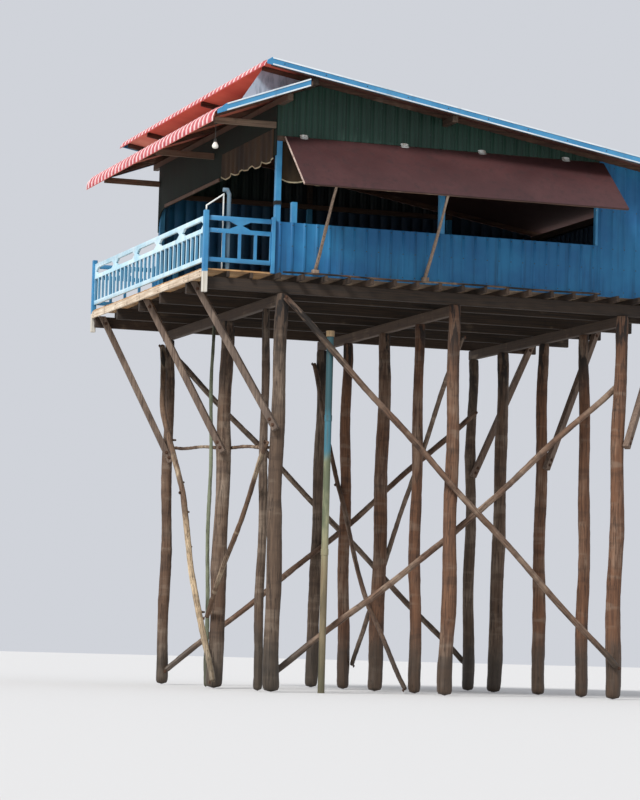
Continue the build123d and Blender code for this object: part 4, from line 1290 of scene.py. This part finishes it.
# Rope wound round the near corner post
ropeSettings = {
    "radius": 0.0065, "turns": 5, "height": 1.17, "pitch": 0.0145, "corner": 0.018, "halfPost": 0.05,
}
halfPost = ropeSettings["halfPost"]
postMiddle = Vector((
    house["wallX"] + halfPost, house["nearY"] + halfPost, house["floor"] + ropeSettings["height"],
))
reach = halfPost + ropeSettings["radius"]
ropePoints = []
for turnIndex in range(ropeSettings["turns"] * 8 + 1):
    cornerIndex, second = divmod(turnIndex, 2)
    signX, signY = ((1, 1), (-1, 1), (-1, -1), (1, -1))[cornerIndex % 4]
    offset = ropeSettings["corner"] if second else 0
    alongX = (cornerIndex % 2 == 0) == bool(second)
    x = signX * (reach - (offset if alongX else 0))
    y = signY * (reach - (0 if alongX else offset))
    ropePoints.append(postMiddle + Vector((x, y, turnIndex / 8 * ropeSettings["pitch"])))
curve = bpy.data.curves.new("cornerRope", "CURVE")
curve.dimensions = "3D"
spline = curve.splines.new("NURBS")
spline.points.add(len(ropePoints) - 1)
for point, spot in zip(spline.points, ropePoints):
    point.co = (*spot, 1.0)
spline.order_u = 3
spline.use_endpoint_u = True
curve.bevel_depth = ropeSettings["radius"]
curve.bevel_resolution = 2
curve.resolution_u = 3
rope = bpy.data.objects.new("cornerRope", curve)
bpy.context.scene.collection.objects.link(rope)
choose(rope)
bpy.ops.object.convert(target="MESH")
settle(bpy.context.object, "cornerRope", "rope", (), 60)

# Board along the front panel's lower edge
edgeBoard = {"size": (0.024, 3.6, 0.06), "ahead": 0.032, "aside": 1.385, "height": 2.06, "bevel": 0.004}
edgeCentre = (
    house["wallX"] - edgeBoard["ahead"],
    (house["nearY"] + house["farY"]) / 2 + edgeBoard["aside"],
    house["floor"] + edgeBoard["height"],
)
panelEdge = makeBoxes([(edgeCentre, edgeBoard["size"], (0, 0, 0))], edgeBoard["bevel"])
settle(panelEdge, "panelEdgeBoard", "rafter", (), 0)
for template in (bolt, screw):
    bpy.data.objects.remove(template)
print("small pieces made")

# Pale floor, soft light and the photo's camera
stageSettings = {
    "floorSize": 400.0,
    "floorColour": (0.6, 0.59, 0.575, 1.0),
    "worldColour": (0.9, 0.93, 1.0, 1.0),
    "worldStrength": 0.7,
    "sunStrength": 3.4,
    "sunAngle": 0.25,
    "sunTurn": (math.radians(46), 0.0, math.radians(-54)),
}
deselect()
bpy.ops.mesh.primitive_plane_add(size=stageSettings["floorSize"])
floor = bpy.context.object
floor.name = "studioFloor"
floorFinish = Finish("paleFloor")
floorFinish.colour = stageSettings["floorColour"]
floor.data.materials.append(floorFinish.surface(0.85, floorFinish.noise((2.0, 2.0, 2.0)), 0.001, 0.1))

world = bpy.data.worlds.new("studio")
world.use_nodes = True
background = world.node_tree.nodes["Background"]
background.inputs["Color"].default_value = stageSettings["worldColour"]
background.inputs["Strength"].default_value = stageSettings["worldStrength"]
bpy.context.scene.world = world

bpy.ops.object.light_add(type="SUN", rotation=stageSettings["sunTurn"])
bpy.context.object.data.energy = stageSettings["sunStrength"]
bpy.context.object.data.angle = stageSettings["sunAngle"]

cameraSettings = {
    "focalPixels": 2989.9,
    "photoHeight": 800,
    "sensor": 36.0,
    "yaw": 0.3274,
    "pitch": 0.08385,
    "roll": 0.02684,
    "place": (-19.032, -52.250, 0.710),
}
cameraData = bpy.data.cameras.new("photoCamera")
cameraData.sensor_fit = "VERTICAL"
cameraData.sensor_height = cameraSettings["sensor"]
cameraData.lens = cameraSettings["focalPixels"] / cameraSettings["photoHeight"] * cameraSettings["sensor"]
cameraData.clip_end = 500.0
camera = bpy.data.objects.new("photoCamera", cameraData)
camera.matrix_world = (
    Matrix.Translation(cameraSettings["place"])
    @ Matrix.Rotation(-cameraSettings["yaw"], 4, "Z")
    @ Matrix.Rotation(math.pi / 2 + cameraSettings["pitch"], 4, "X")
    @ Matrix.Rotation(cameraSettings["roll"], 4, "Z")
)
bpy.context.scene.collection.objects.link(camera)
bpy.context.scene.camera = camera
bpy.context.scene.view_settings.view_transform = "Standard"
print("stage and camera set")
